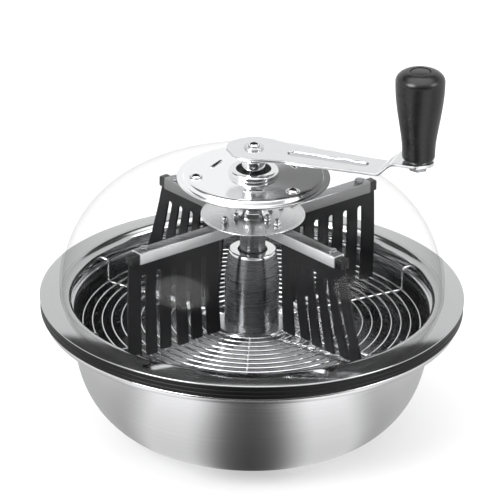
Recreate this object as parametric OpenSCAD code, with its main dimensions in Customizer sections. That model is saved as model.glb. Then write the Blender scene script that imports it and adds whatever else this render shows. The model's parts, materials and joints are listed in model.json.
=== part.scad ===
// Hand-cranked bowl trimmer: a steel bowl with a wire grate over spinning
// blades, and a clear dome whose crank sweeps rubber flaps round above the
// grate. The crank also drives the blades through a planetary gear train.
// Millimetres, +Z up, the origin in the middle of the bowl's flat base.

/* [Bowl] */
// Height of the rim plane above the table
rim_z = 140; // [115:1:180]
// Radius of the flat base
base_r = 60; // [40:1:80]
// Outer radius of the body at its mouth
bowl_r = 171; // [165:1:220]
// Wall of the pressed steel
bowl_wall = 1.2; // [0.8:0.1:2]
// Roundness of the body, 2 for a plain ellipse
bowl_power = 2.5; // [2:0.1:3.5]
// How far the flange reaches past the body
flange_w = 28; // [22:1:36]
// Thickness of the rolled lip
lip_h = 7.9; // [5:0.1:10]

/* [Gasket and ring] */
// Height of the rubber gasket
gasket_h = 12.5; // [8:0.5:18]
// Radial gap between the gasket and the ring's inner wall
gasket_gap = 2.2; // [1:0.1:4]
// How far the ring reaches past the lip
ring_over = 4; // [0.5:0.5:8]
// How far the gasket stands inside the ring's edge
gasket_inset = 0.4; // [0.2:0.1:2]
// Width of the ring's sloping flat
ring_flat = 22; // [18:1:26]
// Rise of the flat towards its inner edge
ring_rise = 3; // [1:0.5:5]
// Radius of the shoulder at the inner edge
shoulder_r = 8.4; // [5:0.1:10]
// Depth of the ring's inner wall below the rim plane
ring_wall_h = 11; // [8:0.5:12]
// Thickness of the ring
ring_t = 1.2; // [1:0.1:2]

/* [Grate] */
// Depth of the grate's wires below the rim plane
grate_depth = 27.8; // [24:0.1:34]
// Number of round wires
wire_count = 14; // [8:1:16]
// Radius of the smallest round wire
wire_first_r = 41; // [38:1:60]
// Gap between the largest round wire and the hangers
wire_last_gap = 1; // [0.5:0.5:6]
// Diameter of the round wires
wire_d = 1.9; // [1.4:0.1:2.2]
// Diameter of the six radial wires
spoke_d = 2.6; // [2:0.1:3]
// Number of radial wires
spoke_count = 6; // [4:1:8]
// Direction of the first radial wire
spoke_angle = 28; // [0:1:59]
// Bend radius of the radial wires
spoke_bend = 4; // [3:0.5:5]
// Distance from the upright part of a hanger to the ring's wall
hanger_gap = 7.6; // [6.5:0.1:10]

/* [Gear housing] */
// Outer radius of the housing
housing_r = 26; // [25.5:0.5:30]
// Radius of its top face
housing_top_r = 22.5; // [19:0.5:24]
// Height of its top above the rim plane
housing_top = 47.8; // [42:0.1:60]
// Height of the tapered part
taper_h = 25; // [10:1:30]
// Thickness of the threaded cap
cap_h = 3; // [2:0.5:5]
// Radius of the well that the drive sleeve enters
well_r = 14.2; // [13.5:0.1:16]
// Radius of the disc that the housing stands on
disc_r = 33; // [31:0.5:36]
// Thickness of that disc
disc_t = 2; // [1.5:0.1:3]
// Height of the plug that closes the housing below the gears
plug_h = 15.7; // [12:0.1:18]

/* [Gears] */
// Tooth module
gear_m = 0.8; // [0.8:0.01:0.82]
// Face width
gear_w = 8; // [6:0.5:9]
// Teeth of the sun gear
sun_n = 12; // [12:1:12]
// Teeth of each planet gear
planet_n = 18; // [18:1:18]
// Pressure angle
pressure = 25; // [25:1:25]
// Play between meshing teeth
backlash = 0.12; // [0.08:0.01:0.2]
// Thickness of the planet carrier's plate
carrier_t = 4; // [3:0.5:6]
// Radius of the pins that carry the planets
pin_r = 2; // [1.5:0.1:2.3]
// Radius of the carrier's neck in the input bearing
neck_r = 8; // [7:0.5:9]
// Across flats of the hexagonal drive
hex_af = 12; // [10:0.5:13]
// Radius of the blade shaft
shaft_r = 3.5; // [3:0.1:3.6]

/* [Blades] */
// Reach of the blades from the axis
blade_reach = 155; // [120:1:160]
// Width of a blade
blade_w = 17; // [12:1:22]
// Thickness of a blade
blade_t = 1.8; // [1.5:0.1:2.5]
// Gap between the radial wires and the upper blade
blade_gap = 3.4; // [2.5:0.1:5]
// Spacer between the two blades
spacer_h = 2; // [1.5:0.5:5]
// Direction of the upper blade
blade_angle = 322; // [0:1:359]

/* [Dome] */
// Outer radius of the dome at its foot
dome_r = 184; // [182:1:190]
// Height of the dome's flat crown above the rim plane
crown_z = 120; // [115:1:150]
// Radius of the dome's flat crown
crown_r = 74; // [70:1:80]
// Height of the upright part of the dome's wall
skirt_h = 10; // [6:1:20]
// Wall of the clear plastic
dome_wall = 2.5; // [2:0.1:4]

/* [Top plate] */
// Radius of the top plate
plate_r = 73; // [68:1:80]
// Width of its lower brim
brim_w = 5.5; // [4:0.5:8]
// Thickness of the brim
brim_t = 2; // [1:0.1:3]
// Rise of its middle above the brim
plate_rise = 3.5; // [2:0.1:5]
// Thickness of its middle
plate_t = 1.2; // [1:0.1:1.6]
// Thickness of the seal under its brim
seal_t = 1; // [0.5:0.5:2]
// Radius of the collar
collar_r = 24; // [22:0.5:28]
// Height of the collar above the plate
collar_h = 4.9; // [3:0.1:8]
// Radius of the collar's boss through the dome
boss_r = 19.6; // [18.5:0.1:21]
// How far the boss reaches below the dome's crown
boss_drop = 9; // [6:0.5:12]
// Radius of the collar's bore
collar_bore = 16.8; // [15:0.1:17]
// Distance of the plate screws from the axis
screw_ring = 55.6; // [50:0.1:58]
// Direction of the first plate screw
screw_angle = 72; // [0:1:119]
// Radius of the plate screws
screw_r = 2.5; // [2:0.1:3]
// Radius of the clamp plate under the dome
clamp_r = 64; // [62:1:68]
// Distance of the three short slots from the axis
slot_ring = 40.8; // [38:0.1:46]

/* [Crank] */
// Radius of the crank shaft
crank_r = 11.2; // [10:0.1:12]
// Height of the arm's underside above the rim plane
arm_z = 149.8; // [142:0.1:165]
// Thickness of the arm
arm_t = 3; // [2:0.1:5]
// Direction of the arm at rest
crank_angle = -18.7; // [-180:0.1:180]
// Distance from the shaft to the knob
crank_len = 163; // [150:1:175]
// Rise of the arm's outer end
arm_rise = 12; // [8:0.5:20]
// Where the rise begins
bend_from = 126; // [118:1:130]
// Radial length of the rise
bend_run = 17; // [12:1:20]
// Radius of the arm's hub end
hub_end_r = 26; // [22:1:30]
// Radius of the arm's knob end
knob_end_r = 15; // [12:0.5:18]

/* [Knob] */
// Height of the knob
knob_h = 88; // [70:1:110]
// Radius of its foot
knob_foot_r = 15.5; // [13:0.5:18]
// Radius near its top
knob_top_r = 23.5; // [20:0.5:28]
// Radius of the bolt through the knob
bolt_r = 4; // [3:0.1:5]
// Thickness of the washer under the knob
washer_t = 2.4; // [1.5:0.1:4]

/* [Flaps] */
// Height of the flap disc's top above the rim plane
flap_disc_z = 84.5; // [80:0.5:95]
// Radius of the flap disc
flap_disc_r = 50; // [44:1:60]
// Thickness of the flap disc
flap_disc_t = 2; // [1.5:0.1:4]
// Length of the longer pair of channel arms
long_arm = 139; // [110:1:142]
// Length of the shorter pair of channel arms
short_arm = 120; // [100:1:139]
// Direction of the longer pair
long_angle = 38.5; // [30:0.5:50]
// Direction of the shorter pair
short_angle = 132.5; // [125:0.5:140]
// Width of the channel arms
channel_w = 13; // [11:0.5:16]
// Height of the channel arms
channel_h = 11.4; // [9:0.1:14]
// Sheet thickness of the channel arms
channel_t = 1.5; // [1:0.1:2]
// Thickness of the rubber flaps
flap_t = 2.4; // [1.5:0.1:4]
// Reach of the flaps at the grate
flap_reach = 152; // [130:1:156]
// Gap between the flaps and the grate's wires
flap_gap = 1.8; // [1.5:0.1:4]
// Slits in each flap
slit_count = 5; // [3:1:6]
// Width of a slit
slit_w = 6; // [3:0.5:8]
// Outer radius of the drive sleeve
sleeve_r = 12.2; // [11.5:0.1:12.6]

/* [Clearances] */
// Radial play of a running fit
run_fit = 0.05; // [0.03:0.01:0.08]
// Play of the hexagonal drive on each flat
hex_fit = 0.1; // [0.08:0.01:0.2]
// Gap between faces that pass each other
face_gap = 0.4; // [0.3:0.1:0.8]

/* [Hidden] */
$fn = 96;
tiny = 0.01;

// Bowl, gasket and ring, from the rim plane down
ring_under_z = rim_z - ring_t;
bowl_top_z = ring_under_z - gasket_h;
body_z = bowl_top_z - lip_h;
// Heights where the pieces of the bowl's body meet, as shares of its height
side_share = 0.38;
foot_share = 0.093;
side_z = body_z * side_share;
foot_z = body_z * foot_share;
lip_r = bowl_r + flange_w;
ring_r = lip_r + ring_over;
ring_in_r = ring_r - ring_flat;
wall_r = ring_in_r - shoulder_r;
shoulder_z = rim_z + ring_rise - shoulder_r;
gasket_r = ring_r - gasket_inset;
gasket_in_r = wall_r + ring_t + gasket_gap;

// Grate
wire_z = rim_z - grate_depth;
spoke_z = wire_z - wire_d / 2 - spoke_d / 2;
hanger_r = wall_r - hanger_gap;
hanger_top = ring_under_z - ring_wall_h / 2;
wire_last_r = hanger_r - spoke_d / 2 - wire_last_gap - wire_d / 2;
wire_pitch = (wire_last_r - wire_first_r) / (wire_count - 1);

// Housing, from the grate up
disc_z = spoke_z - spoke_d / 2;
housing_z = disc_z + disc_t;
cavity_r = ring_gear_r();
housing_top_z = rim_z + housing_top;
cap_z = housing_top_z - cap_h;
plug_top = housing_z + plug_h;
gear_z = plug_top + face_gap;
carrier_z = gear_z + gear_w + face_gap;
neck_z = carrier_z + carrier_t;
ceiling_z = neck_z + 10;
bearing_h = 18;
bearing_top = ceiling_z + bearing_h;
post_top = cap_z + cap_h / 2;
bearing_r = 9;
bearing_flange_h = 1.4;
plug_screw_ring = 17;
plug_screw_r = 1.5;

// Gear geometry
ring_n = sun_n + 2 * planet_n;
planet_ring = gear_m * (sun_n + planet_n) / 2;
addendum = gear_m;
dedendum = 1.25 * gear_m;
planets = [0, 120, 240];

// Blade stack, from the radial wires down
blade_z = disc_z - blade_gap;
lower_blade_z = blade_z - blade_t - spacer_h;
blade_nut_z = lower_blade_z - blade_t;
collar_blade_r = 12;
nut_h = 6;
shaft_tip = 2;

// Dome and top plate, from the ring up
dome_z = ring_top(dome_r - dome_wall) + 0.1;
crown_top = rim_z + crown_z;
knuckle_r = dome_r - crown_r;
knuckle_h = crown_top - dome_z - skirt_h;
crown_under = crown_top - dome_wall;
// Height where the dome's two pieces meet, as a share of its shoulder
knuckle_share = 0.53;
knuckle_z = dome_z + skirt_h + knuckle_h * knuckle_share;
seal_top = crown_top + seal_t;
brim_top = seal_top + brim_t;
plate_top = brim_top + plate_rise;
plate_under = plate_top - plate_t;
plate_flat_r = plate_r - brim_w - 3;
collar_top = plate_top + collar_h;
boss_z = crown_under - boss_drop;
bush_r = collar_bore;
bush_bore = crank_r + run_fit;
clamp_t = 1.5;
hole_gap = 0.2;
seal_w = 7;
screw_head_r = 5.4;
screw_head_h = 2.6;
screw_nut_h = 4;
screw_nut_af = 8;
slot_len = 18;
slot_w = 2.2;

// Crank, from the arm down to the sleeve
arm_under = rim_z + arm_z;
arm_top = arm_under + arm_t;
disc_top = rim_z + flap_disc_z;
disc_under = disc_top - flap_disc_t;
stud_r = 6;
stud_len = 10;
column_r = 14;
column_foot = 1.5;
sleeve_z = bearing_top + 3;
socket_h = post_top - sleeve_z + 16;
rib_from = 34;
rib_to = 114;
rib_w = 10.5;
rib_h = 1.4;
rib_wall = 1.2;
crank_screw_r = 3;
crank_washer_r = 9.5;
crank_washer_t = 1.6;
crank_head_r = 6.4;
crank_head_h = 3.4;
arm_mid_w = 38.5;
arm_bend_w = 33;

// Flaps
channel_z = disc_under - channel_h;
bar_top = disc_under - channel_t;
bar_w = channel_w - 2 * channel_t;
bar_h = bar_top - channel_z;
bar_over = 9;
grip_h = 5.5;
arm_from = sleeve_r + 2;
nut_radii = [20.5, 34];
bar_from = nut_radii[1] + 9;
flap_from = housing_r + 16;
flap_foot_z = wire_z + wire_d / 2 + flap_gap;
slit_top = channel_z - 14;
tip_bolt_in = 9;
m4_r = 2;
arm_nut_af = 7;
arm_nut_h = 3.2;
flap_arms = [
    [long_angle, long_arm],
    [short_angle, short_arm],
    [long_angle + 180, long_arm],
    [short_angle + 180, short_arm]
];

// Knob
knob_z = arm_top + arm_rise + washer_t + face_gap;
knob_washer_r = 9;
knob_nut_af = 16;
knob_nut_h = 6;
knob_bore = bolt_r + run_fit;
bolt_head_r = 8;
bolt_head_h = 5;
cap_t = 4;
knob_cap_r = 9.5;
knob_well = bolt_head_h + cap_t + 2;

// Height of the ring's top face at a radius
function ring_top(r) = rim_z + ring_rise * (ring_r - r) / ring_flat;

// Points of a circular arc about a centre
function arc(cx, cy, r, a, b, n = 12) =
    [for (k = [0:n]) [cx + r * cos(a + (b - a) * k / n), cy + r * sin(a + (b - a) * k / n)]];

function reversed(list) = [for (k = [len(list) - 1:-1:0]) list[k]];

// Where a height comes on the bowl's round body, as an angle from its mouth
function body_angle(z, bottom) = asin(pow((body_z - z) / (body_z - bottom), bowl_power / 2));

// Points of the bowl's round body between two heights, down from the upper one
function body_curve(inset, bottom, high, low, n = 12) =
    let (start = body_angle(high, bottom), end = body_angle(low, bottom), p = 2 / bowl_power)
    [for (k = [0:n]) let (a = start + (end - start) * k / n)
        [base_r - inset + (bowl_r - base_r) * pow(cos(a), p),
         body_z - (body_z - bottom) * pow(sin(a), p)]];

// Outline of the bowl's wall between two heights
function wall_band(high, low) = concat(
    body_curve(0, 0, high, low), reversed(body_curve(bowl_wall, bowl_wall, high, low)));

// Points of the dome's rounded shoulder between two heights, up from the lower one
function knuckle(inset, low, high, n = 12) =
    let (up = knuckle_h - inset, foot = dome_z + skirt_h)
    let (start = asin((low - foot) / up), end = asin(min(1, (high - foot) / up)))
    [for (k = [0:n]) let (a = start + (end - start) * k / n)
        [crown_r + (knuckle_r - inset) * cos(a), foot + up * sin(a)]];

// Gear teeth: the angle that half a tooth takes up at a radius
function involute(a) = tan(a) * 180 / PI - a;
function half_tooth(r, n, play) =
    let (pitch_r = gear_m * n / 2, base = pitch_r * cos(pressure))
    90 / n - play / pitch_r * 45 / PI + involute(pressure)
        - involute(acos(min(1, base / max(r, base))));
function ring_gear_r() = gear_m * (sun_n + 2 * planet_n) / 2 + 3.6;

// Outline of a gear with involute flanks between two radii
function gear_points(n, root, tip, play, steps = 5) =
    [for (k = [0:n - 1], side = [-1, 1], s = [0:steps])
        let (
            along = side < 0 ? s / steps : 1 - s / steps,
            r = root + (tip - root) * along,
            a = 360 * k / n + side * half_tooth(r, n, play)
        )
        [r * cos(a), r * sin(a)]];

module around(angles) {
    for (a = angles) rotate(a) children();
}

module hexagon(af, h) {
    cylinder(r = af / 2 / cos(30), h = h, $fn = 6);
}

module tube(outer, inner, h) {
    difference() {
        cylinder(r = outer, h = h);
        translate([0, 0, -1]) cylinder(r = inner, h = h + 2);
    }
}

// A cross recess, as a cutter that stands on its floor
module cross_recess(reach, depth) {
    for (a = [0, 90]) rotate(a)
        translate([-reach, -reach / 4, 0]) cube([2 * reach, reach / 2, depth + 1]);
}

// Rolled lip and outward flange at the bowl's mouth
module bowl_lip() color("#c9ccd0") {
    lip = lip_h / 2;
    rotate_extrude()
        polygon(concat(
            [[bowl_r - bowl_wall, bowl_top_z]],
            arc(lip_r - lip, bowl_top_z - lip, lip, 90, -180 + asin((lip - bowl_wall) / lip), 24),
            [[bowl_r, bowl_top_z - bowl_wall], [bowl_r, body_z], [bowl_r - bowl_wall, body_z]]
        ));
}

// Upper wall of the deep-drawn bowl
module bowl() color("#c9ccd0")
    rotate_extrude() polygon(wall_band(body_z, side_z));

// Rounded lower wall of the bowl
module bowl_side() color("#c9ccd0")
    rotate_extrude() polygon(wall_band(side_z, foot_z));

// Flat base of the bowl with the turn up into its wall
module bowl_base() color("#c9ccd0")
    rotate_extrude()
        polygon(concat(
            body_curve(0, 0, foot_z, 0), [[0, 0], [0, bowl_wall]],
            reversed(body_curve(bowl_wall, bowl_wall, foot_z, bowl_wall))
        ));

// Black rubber ring between the bowl's flange and the support ring
module rim_gasket() color("#1b1b1d")
    rotate_extrude()
        polygon([
            [gasket_in_r, bowl_top_z], [gasket_r - 1, bowl_top_z],
            [gasket_r, bowl_top_z + 1], [gasket_r, ring_under_z - 1],
            [gasket_r - 1, ring_under_z], [gasket_in_r, ring_under_z]
        ]);

// Steel ring that carries the dome, with a shoulder turned down inside
module support_ring() color("#d2d4d6")
    rotate_extrude()
        polygon(concat(
            [[ring_r, ring_under_z], [ring_r, rim_z]],
            arc(ring_in_r, shoulder_z, shoulder_r, 90, 180),
            [[wall_r, ring_under_z - ring_wall_h], [wall_r + ring_t, ring_under_z - ring_wall_h]],
            arc(ring_in_r, shoulder_z, shoulder_r - ring_t, 180, 90)
        ));

// Concentric wires that the leaves lie on
module grate_rings() color("#e4e6e8")
    for (k = [0:wire_count - 1])
        translate([0, 0, wire_z])
            rotate_extrude()
                translate([wire_first_r + wire_pitch * k, 0]) circle(r = wire_d / 2, $fn = 24);

// A rod elbow in the XZ plane about a centre
module elbow(cx, cz, from, turn) {
    translate([cx, 0, cz]) rotate([90, 0, 0]) rotate(from)
        rotate_extrude(angle = turn)
            translate([spoke_bend, 0]) circle(r = spoke_d / 2, $fn = 24);
}

module rod_x(x0, x1, z) {
    translate([x0, 0, z]) rotate([0, 90, 0]) cylinder(r = spoke_d / 2, h = x1 - x0, $fn = 24);
}

// Radial wires whose outer ends turn up and hook onto the support ring
module grate_spokes() color("#e4e6e8")
    around([for (k = [0:spoke_count - 1]) spoke_angle + 360 * k / spoke_count]) {
        rod_x(disc_r, hanger_r - spoke_bend, spoke_z);
        elbow(hanger_r - spoke_bend, spoke_z + spoke_bend, -90, 90);
        translate([hanger_r, 0, spoke_z + spoke_bend])
            cylinder(r = spoke_d / 2, h = hanger_top - spoke_z - 2 * spoke_bend, $fn = 24);
        elbow(hanger_r + spoke_bend, hanger_top - spoke_bend, 90, 90);
        rod_x(hanger_r + spoke_bend, wall_r, hanger_top);
    }

// Steel disc in the middle of the grate, under the gear housing
module mount_disc() color("#c4c6c8")
    translate([0, 0, disc_z])
        difference() {
            cylinder(r = disc_r, h = disc_t);
            translate([0, 0, -1]) cylinder(r = bearing_r, h = disc_t + 2);
            around(planets) translate([plug_screw_ring, 0, -1])
                cylinder(r = plug_screw_r, h = disc_t + 2);
        }

// Turned housing round the gears, with a well for the drive sleeve on top
module gear_housing() color("#8a8c8f")
    difference() {
        rotate_extrude()
            polygon([
                [0, housing_z], [housing_r, housing_z],
                [housing_r, housing_top_z - taper_h],
                [housing_top_r + (housing_r - housing_top_r) * cap_h / taper_h, cap_z],
                [0, cap_z]
            ]);
        translate([0, 0, housing_z - 1]) cylinder(r = cavity_r, h = ceiling_z - housing_z + 1);
        translate([0, 0, ceiling_z - 1]) cylinder(r = well_r, h = cap_z - ceiling_z + 2);
    }

// Screwed ring that closes the housing and keeps the input bearing in
module housing_cap() color("#b4b6b8")
    rotate_extrude()
        polygon([
            [well_r, cap_z],
            [housing_top_r + (housing_r - housing_top_r) * cap_h / taper_h, cap_z],
            [housing_top_r + 0.2, housing_top_z - 0.6], [housing_top_r - 0.6, housing_top_z],
            [well_r + 0.6, housing_top_z], [well_r, housing_top_z - 0.6]
        ]);

// Plug that closes the housing from below and holds the output bearing
module housing_plug() color("#77797c")
    translate([0, 0, housing_z])
        difference() {
            cylinder(r = cavity_r, h = plug_h);
            translate([0, 0, -1]) cylinder(r = bearing_r, h = plug_h + 2);
            around(planets) translate([plug_screw_ring, 0, -1])
                cylinder(r = plug_screw_r, h = 10);
        }

// Fixed ring gear with internal teeth
module ring_gear() color("#6d6f72")
    translate([0, 0, plug_top])
        difference() {
            cylinder(r = cavity_r, h = gear_w + face_gap);
            translate([0, 0, -1]) linear_extrude(gear_w + 3) rotate(180 / ring_n)
                polygon(gear_points(
                    ring_n, gear_m * ring_n / 2 - addendum,
                    gear_m * ring_n / 2 + dedendum, -backlash
                ));
        }

// Bronze bush for the carrier's neck
module input_bearing() color("#b08d57")
    translate([0, 0, ceiling_z]) tube(well_r, neck_r + run_fit, bearing_h);

// Bronze flanged bush for the blade shaft
module output_bearing() color("#b08d57")
    rotate_extrude()
        polygon([
            [shaft_r + run_fit, disc_z - bearing_flange_h],
            [bearing_r + 2, disc_z - bearing_flange_h], [bearing_r + 2, disc_z],
            [bearing_r, disc_z], [bearing_r, plug_top],
            [shaft_r + run_fit, plug_top]
        ]);

// Three flat-headed screws that hold the plug to the disc
module base_screws() color("#9b9da0")
    around(planets) translate([plug_screw_ring, 0, 0]) {
        translate([0, 0, disc_z]) cylinder(r = plug_screw_r, h = 10, $fn = 24);
        translate([0, 0, disc_z - 1.4]) difference() {
            cylinder(r = 2.8, h = 1.4, $fn = 24);
            translate([-2, -0.35, -1]) cube([4, 0.7, 1.7]);
        }
    }

// Carrier: the crank turns it by its hexagonal post
module planet_carrier() color("#7d8083") {
    difference() {
        union() {
            translate([0, 0, carrier_z])
                cylinder(r = planet_ring + pin_r + 3, h = carrier_t);
            translate([0, 0, neck_z - tiny])
                cylinder(r = neck_r, h = bearing_top - neck_z + tiny);
        }
        around(planets) translate([planet_ring, 0, carrier_z - 1])
            cylinder(r = pin_r, h = carrier_t + 2);
    }
    translate([0, 0, bearing_top]) hexagon(hex_af, post_top - bearing_top);
}

// Pins pressed into the carrier, one for each planet gear
module planet_pins() color("#a7a9ac")
    around(planets) translate([planet_ring, 0, gear_z])
        cylinder(r = pin_r, h = gear_w + face_gap + carrier_t, $fn = 32);

// Planet gear number k, on its pin
module planet_gear(k) color("#8d8f92")
    rotate(planets[k]) translate([planet_ring, 0, gear_z])
        difference() {
            linear_extrude(gear_w) rotate(180 / planet_n)
                polygon(gear_points(
                    planet_n, gear_m * planet_n / 2 - dedendum,
                    gear_m * planet_n / 2 + addendum, backlash
                ));
            translate([0, 0, -1]) cylinder(r = pin_r + run_fit, h = gear_w + 2, $fn = 32);
        }

// Sun gear, cut on the end of the shaft that drives the blades
module sun_shaft() color("#a7a9ac") {
    translate([0, 0, gear_z]) linear_extrude(gear_w)
        polygon(gear_points(
            sun_n, gear_m * sun_n / 2 - dedendum,
            gear_m * sun_n / 2 + addendum, backlash
        ));
    translate([0, 0, blade_nut_z - nut_h - shaft_tip])
        cylinder(r = shaft_r, h = gear_z - blade_nut_z + nut_h + shaft_tip, $fn = 32);
}

// Collar on the shaft that the upper blade is clamped against
module blade_collar() color("#a7a9ac")
    translate([0, 0, blade_z])
        tube(collar_blade_r, shaft_r, disc_z - bearing_flange_h - face_gap - blade_z);

// Tapered bar with a cutting arm on each side of the shaft
module blade(z, angle) {
    hub = blade_w * 0.75;
    translate([0, 0, z - blade_t]) rotate(angle)
        difference() {
            linear_extrude(blade_t) polygon([
                [-blade_reach, -blade_w / 2], [-hub, -blade_w / 2], [0, -hub], [hub, -hub * 0.6],
                [blade_reach - 8, -blade_w / 6], [blade_reach, blade_w / 2], [hub, blade_w / 2],
                [0, hub], [-hub, hub * 0.6], [-blade_reach + 8, blade_w / 6]
            ]);
            translate([0, 0, -1]) cylinder(r = shaft_r, h = blade_t + 2);
        }
}

module upper_blade() color("#d8dadc") blade(blade_z, blade_angle);

module lower_blade() color("#d8dadc") blade(lower_blade_z, blade_angle + 90);

module blade_spacer() color("#a7a9ac")
    translate([0, 0, lower_blade_z]) tube(collar_blade_r, shaft_r, spacer_h);

// Hexagonal nut with a round flange under the blades
module blade_nut() color("#a7a9ac")
    translate([0, 0, blade_nut_z - nut_h])
        difference() {
            union() {
                translate([0, 0, nut_h - 1.4]) cylinder(r = 8.5, h = 1.4);
                hexagon(12, nut_h - 1.4 + tiny);
            }
            translate([0, 0, -1]) cylinder(r = shaft_r, h = nut_h + 2);
        }

// Wall of the clear dome: upright skirt and the lower part of its round shoulder
module dome() color("#dfe8ee", 0.35)
    rotate_extrude()
        polygon(concat(
            [[dome_r, dome_z]], knuckle(0, dome_z + skirt_h, knuckle_z),
            reversed(knuckle(dome_wall, dome_z + skirt_h, knuckle_z)), [[dome_r - dome_wall, dome_z]]
        ));

// Flat crown of the clear dome with the upper part of its round shoulder
module dome_crown() color("#dfe8ee", 0.35)
    difference() {
        rotate_extrude()
            polygon(concat(
                knuckle(0, knuckle_z, crown_top),
                [[boss_r + hole_gap, crown_top], [boss_r + hole_gap, crown_under]],
                reversed(knuckle(dome_wall, knuckle_z, crown_under))
            ));
        screw_holes(crown_under - 1, dome_wall + 2, screw_r);
    }

// Drilled round the axis for the three plate screws
module screw_holes(z, h, r) {
    around([for (k = [0:2]) screw_angle + 120 * k])
        translate([screw_ring, 0, z]) cylinder(r = r, h = h, $fn = 32);
}

// Polished steel plate on the crown, with a low brim
module top_plate() color("#e6e8ea")
    difference() {
        rotate_extrude()
            polygon([
                [boss_r, plate_under], [plate_flat_r, plate_under],
                [plate_r - brim_w - 1, seal_top], [plate_r - 0.8, seal_top],
                [plate_r, seal_top + 0.8], [plate_r, brim_top - 0.8], [plate_r - 0.8, brim_top],
                [plate_r - brim_w, brim_top], [plate_flat_r + 1, plate_top],
                [boss_r, plate_top]
            ]);
        screw_holes(seal_top, plate_top - seal_top + 1, screw_r);
        around([30, 150, 270]) translate([slot_ring - slot_w / 2, -slot_len / 2, plate_under - 1])
            cube([slot_w, slot_len, plate_t + 2]);
    }

module plate_seal() color("#202022")
    translate([0, 0, crown_top]) tube(plate_r - 3, plate_r - 3 - seal_w, seal_t);

// Collar round the crank shaft, with a boss through the plate and the dome
module collar() color("#dcdee0")
    rotate_extrude()
        polygon([
            [collar_bore, boss_z], [boss_r, boss_z], [boss_r, plate_top],
            [collar_r, plate_top], [collar_r, collar_top - 1], [collar_r - 1, collar_top],
            [collar_bore, collar_top]
        ]);

// Black plastic bush that the crank shaft turns in
module collar_bush() color("#242426")
    translate([0, 0, boss_z]) tube(bush_r, bush_bore, collar_top - boss_z);

// Steel washer plate that clamps the dome from below
module clamp_plate() color("#c9cbcd")
    difference() {
        translate([0, 0, crown_under - clamp_t]) tube(clamp_r, boss_r + hole_gap, clamp_t);
        screw_holes(crown_under - clamp_t - 1, clamp_t + 2, screw_r);
    }

module top_screws() color("#d0d2d4")
    around([for (k = [0:2]) screw_angle + 120 * k]) translate([screw_ring, 0, 0])
        difference() {
            rotate_extrude($fn = 32)
                polygon(concat(
                    [[0, crown_under - clamp_t - screw_nut_h - 2.5],
                     [screw_r, crown_under - clamp_t - screw_nut_h - 2.5],
                     [screw_r, plate_top], [screw_head_r, plate_top]],
                    [for (k = [0:5]) let (a = 90 * k / 5)
                        [screw_head_r * cos(a), plate_top + 0.4 + (screw_head_h - 0.4) * sin(a)]]
                ));
            translate([0, 0, plate_top + 0.6]) cross_recess(2.8, screw_head_h);
        }

module top_nuts() color("#c4c6c8")
    difference() {
        around([for (k = [0:2]) screw_angle + 120 * k])
            translate([screw_ring, 0, crown_under - clamp_t - screw_nut_h])
                hexagon(screw_nut_af, screw_nut_h);
        screw_holes(crown_under - clamp_t - screw_nut_h - 1, screw_nut_h + 2, screw_r);
    }

// Flat arm outline along +X, from the shaft to the rise
module arm_outline() {
    circle(r = hub_end_r);
    polygon([
        [0, hub_end_r], [hub_end_r * 0.9, arm_mid_w / 2 + 1.5], [bend_from * 0.5, arm_mid_w / 2],
        [bend_from, arm_bend_w / 2], [bend_from, -arm_bend_w / 2],
        [bend_from * 0.5, -arm_mid_w / 2], [hub_end_r * 0.9, -arm_mid_w / 2 - 1.5],
        [0, -hub_end_r]
    ]);
}

// Sheet that rises from the arm's inner part to its knob end
module arm_rise_sheet() {
    half = arm_bend_w / 2;
    slope = atan2(arm_rise, bend_run);
    lean = arm_t * tan(slope / 2);
    rotate([90, 0, 0]) translate([0, 0, -half]) linear_extrude(2 * half)
        polygon([
            [bend_from - tiny, arm_under], [bend_from + lean, arm_under],
            [bend_from + bend_run + lean, arm_under + arm_rise],
            [bend_from + bend_run + lean, arm_top + arm_rise],
            [bend_from + bend_run, arm_top + arm_rise], [bend_from, arm_top],
            [bend_from - tiny, arm_top]
        ]);
}

// Outline of the long groove pressed into the crank arm
module rib_outline(grow) {
    w = rib_w + 2 * grow;
    translate([rib_from + rib_w / 2, -w / 2]) square([rib_to - rib_from - rib_w, w]);
    for (x = [rib_from + rib_w / 2, rib_to - rib_w / 2])
        translate([x, 0]) circle(r = w / 2, $fn = 32);
}

// Pressed steel crank arm with a stiffening groove
module crank_arm() color("#cfd1d4")
    rotate(crank_angle)
        difference() {
            union() {
                translate([0, 0, arm_under]) linear_extrude(arm_t) arm_outline();
                intersection() {
                    arm_rise_sheet();
                    translate([bend_from - 1, 0, 0]) linear_extrude(arm_top + arm_rise + 1)
                        polygon([
                            [0, arm_bend_w / 2 + 0.5], [bend_run + 6, knob_end_r],
                            [bend_run + 6, -knob_end_r], [0, -arm_bend_w / 2 - 0.5]
                        ]);
                }
                translate([0, 0, arm_under + arm_rise]) linear_extrude(arm_t) {
                    translate([crank_len, 0]) circle(r = knob_end_r);
                    translate([bend_from + bend_run, -knob_end_r])
                        square([crank_len - bend_from - bend_run, 2 * knob_end_r]);
                }
                translate([0, 0, arm_under - rib_h])
                    linear_extrude(rib_h + tiny) rib_outline(rib_wall);
            }
            translate([0, 0, arm_top - rib_h]) linear_extrude(rib_h + 1) rib_outline(0);
            translate([0, 0, arm_under - 1]) cylinder(r = crank_screw_r, h = arm_t + 2, $fn = 32);
            translate([crank_len, 0, arm_under + arm_rise - 1])
                cylinder(r = bolt_r, h = arm_t + 2, $fn = 32);
        }

// Chrome shaft that turns in the bush, with a stud for the flap disc
module crank_shaft() color("#b8babd")
    difference() {
        union() {
            translate([0, 0, disc_top]) cylinder(r = crank_r, h = arm_under - disc_top);
            translate([0, 0, disc_under - stud_len])
                cylinder(r = stud_r, h = stud_len + flap_disc_t + tiny, $fn = 48);
        }
        translate([0, 0, arm_under - 14]) cylinder(r = crank_screw_r, h = 15, $fn = 32);
    }

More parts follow.
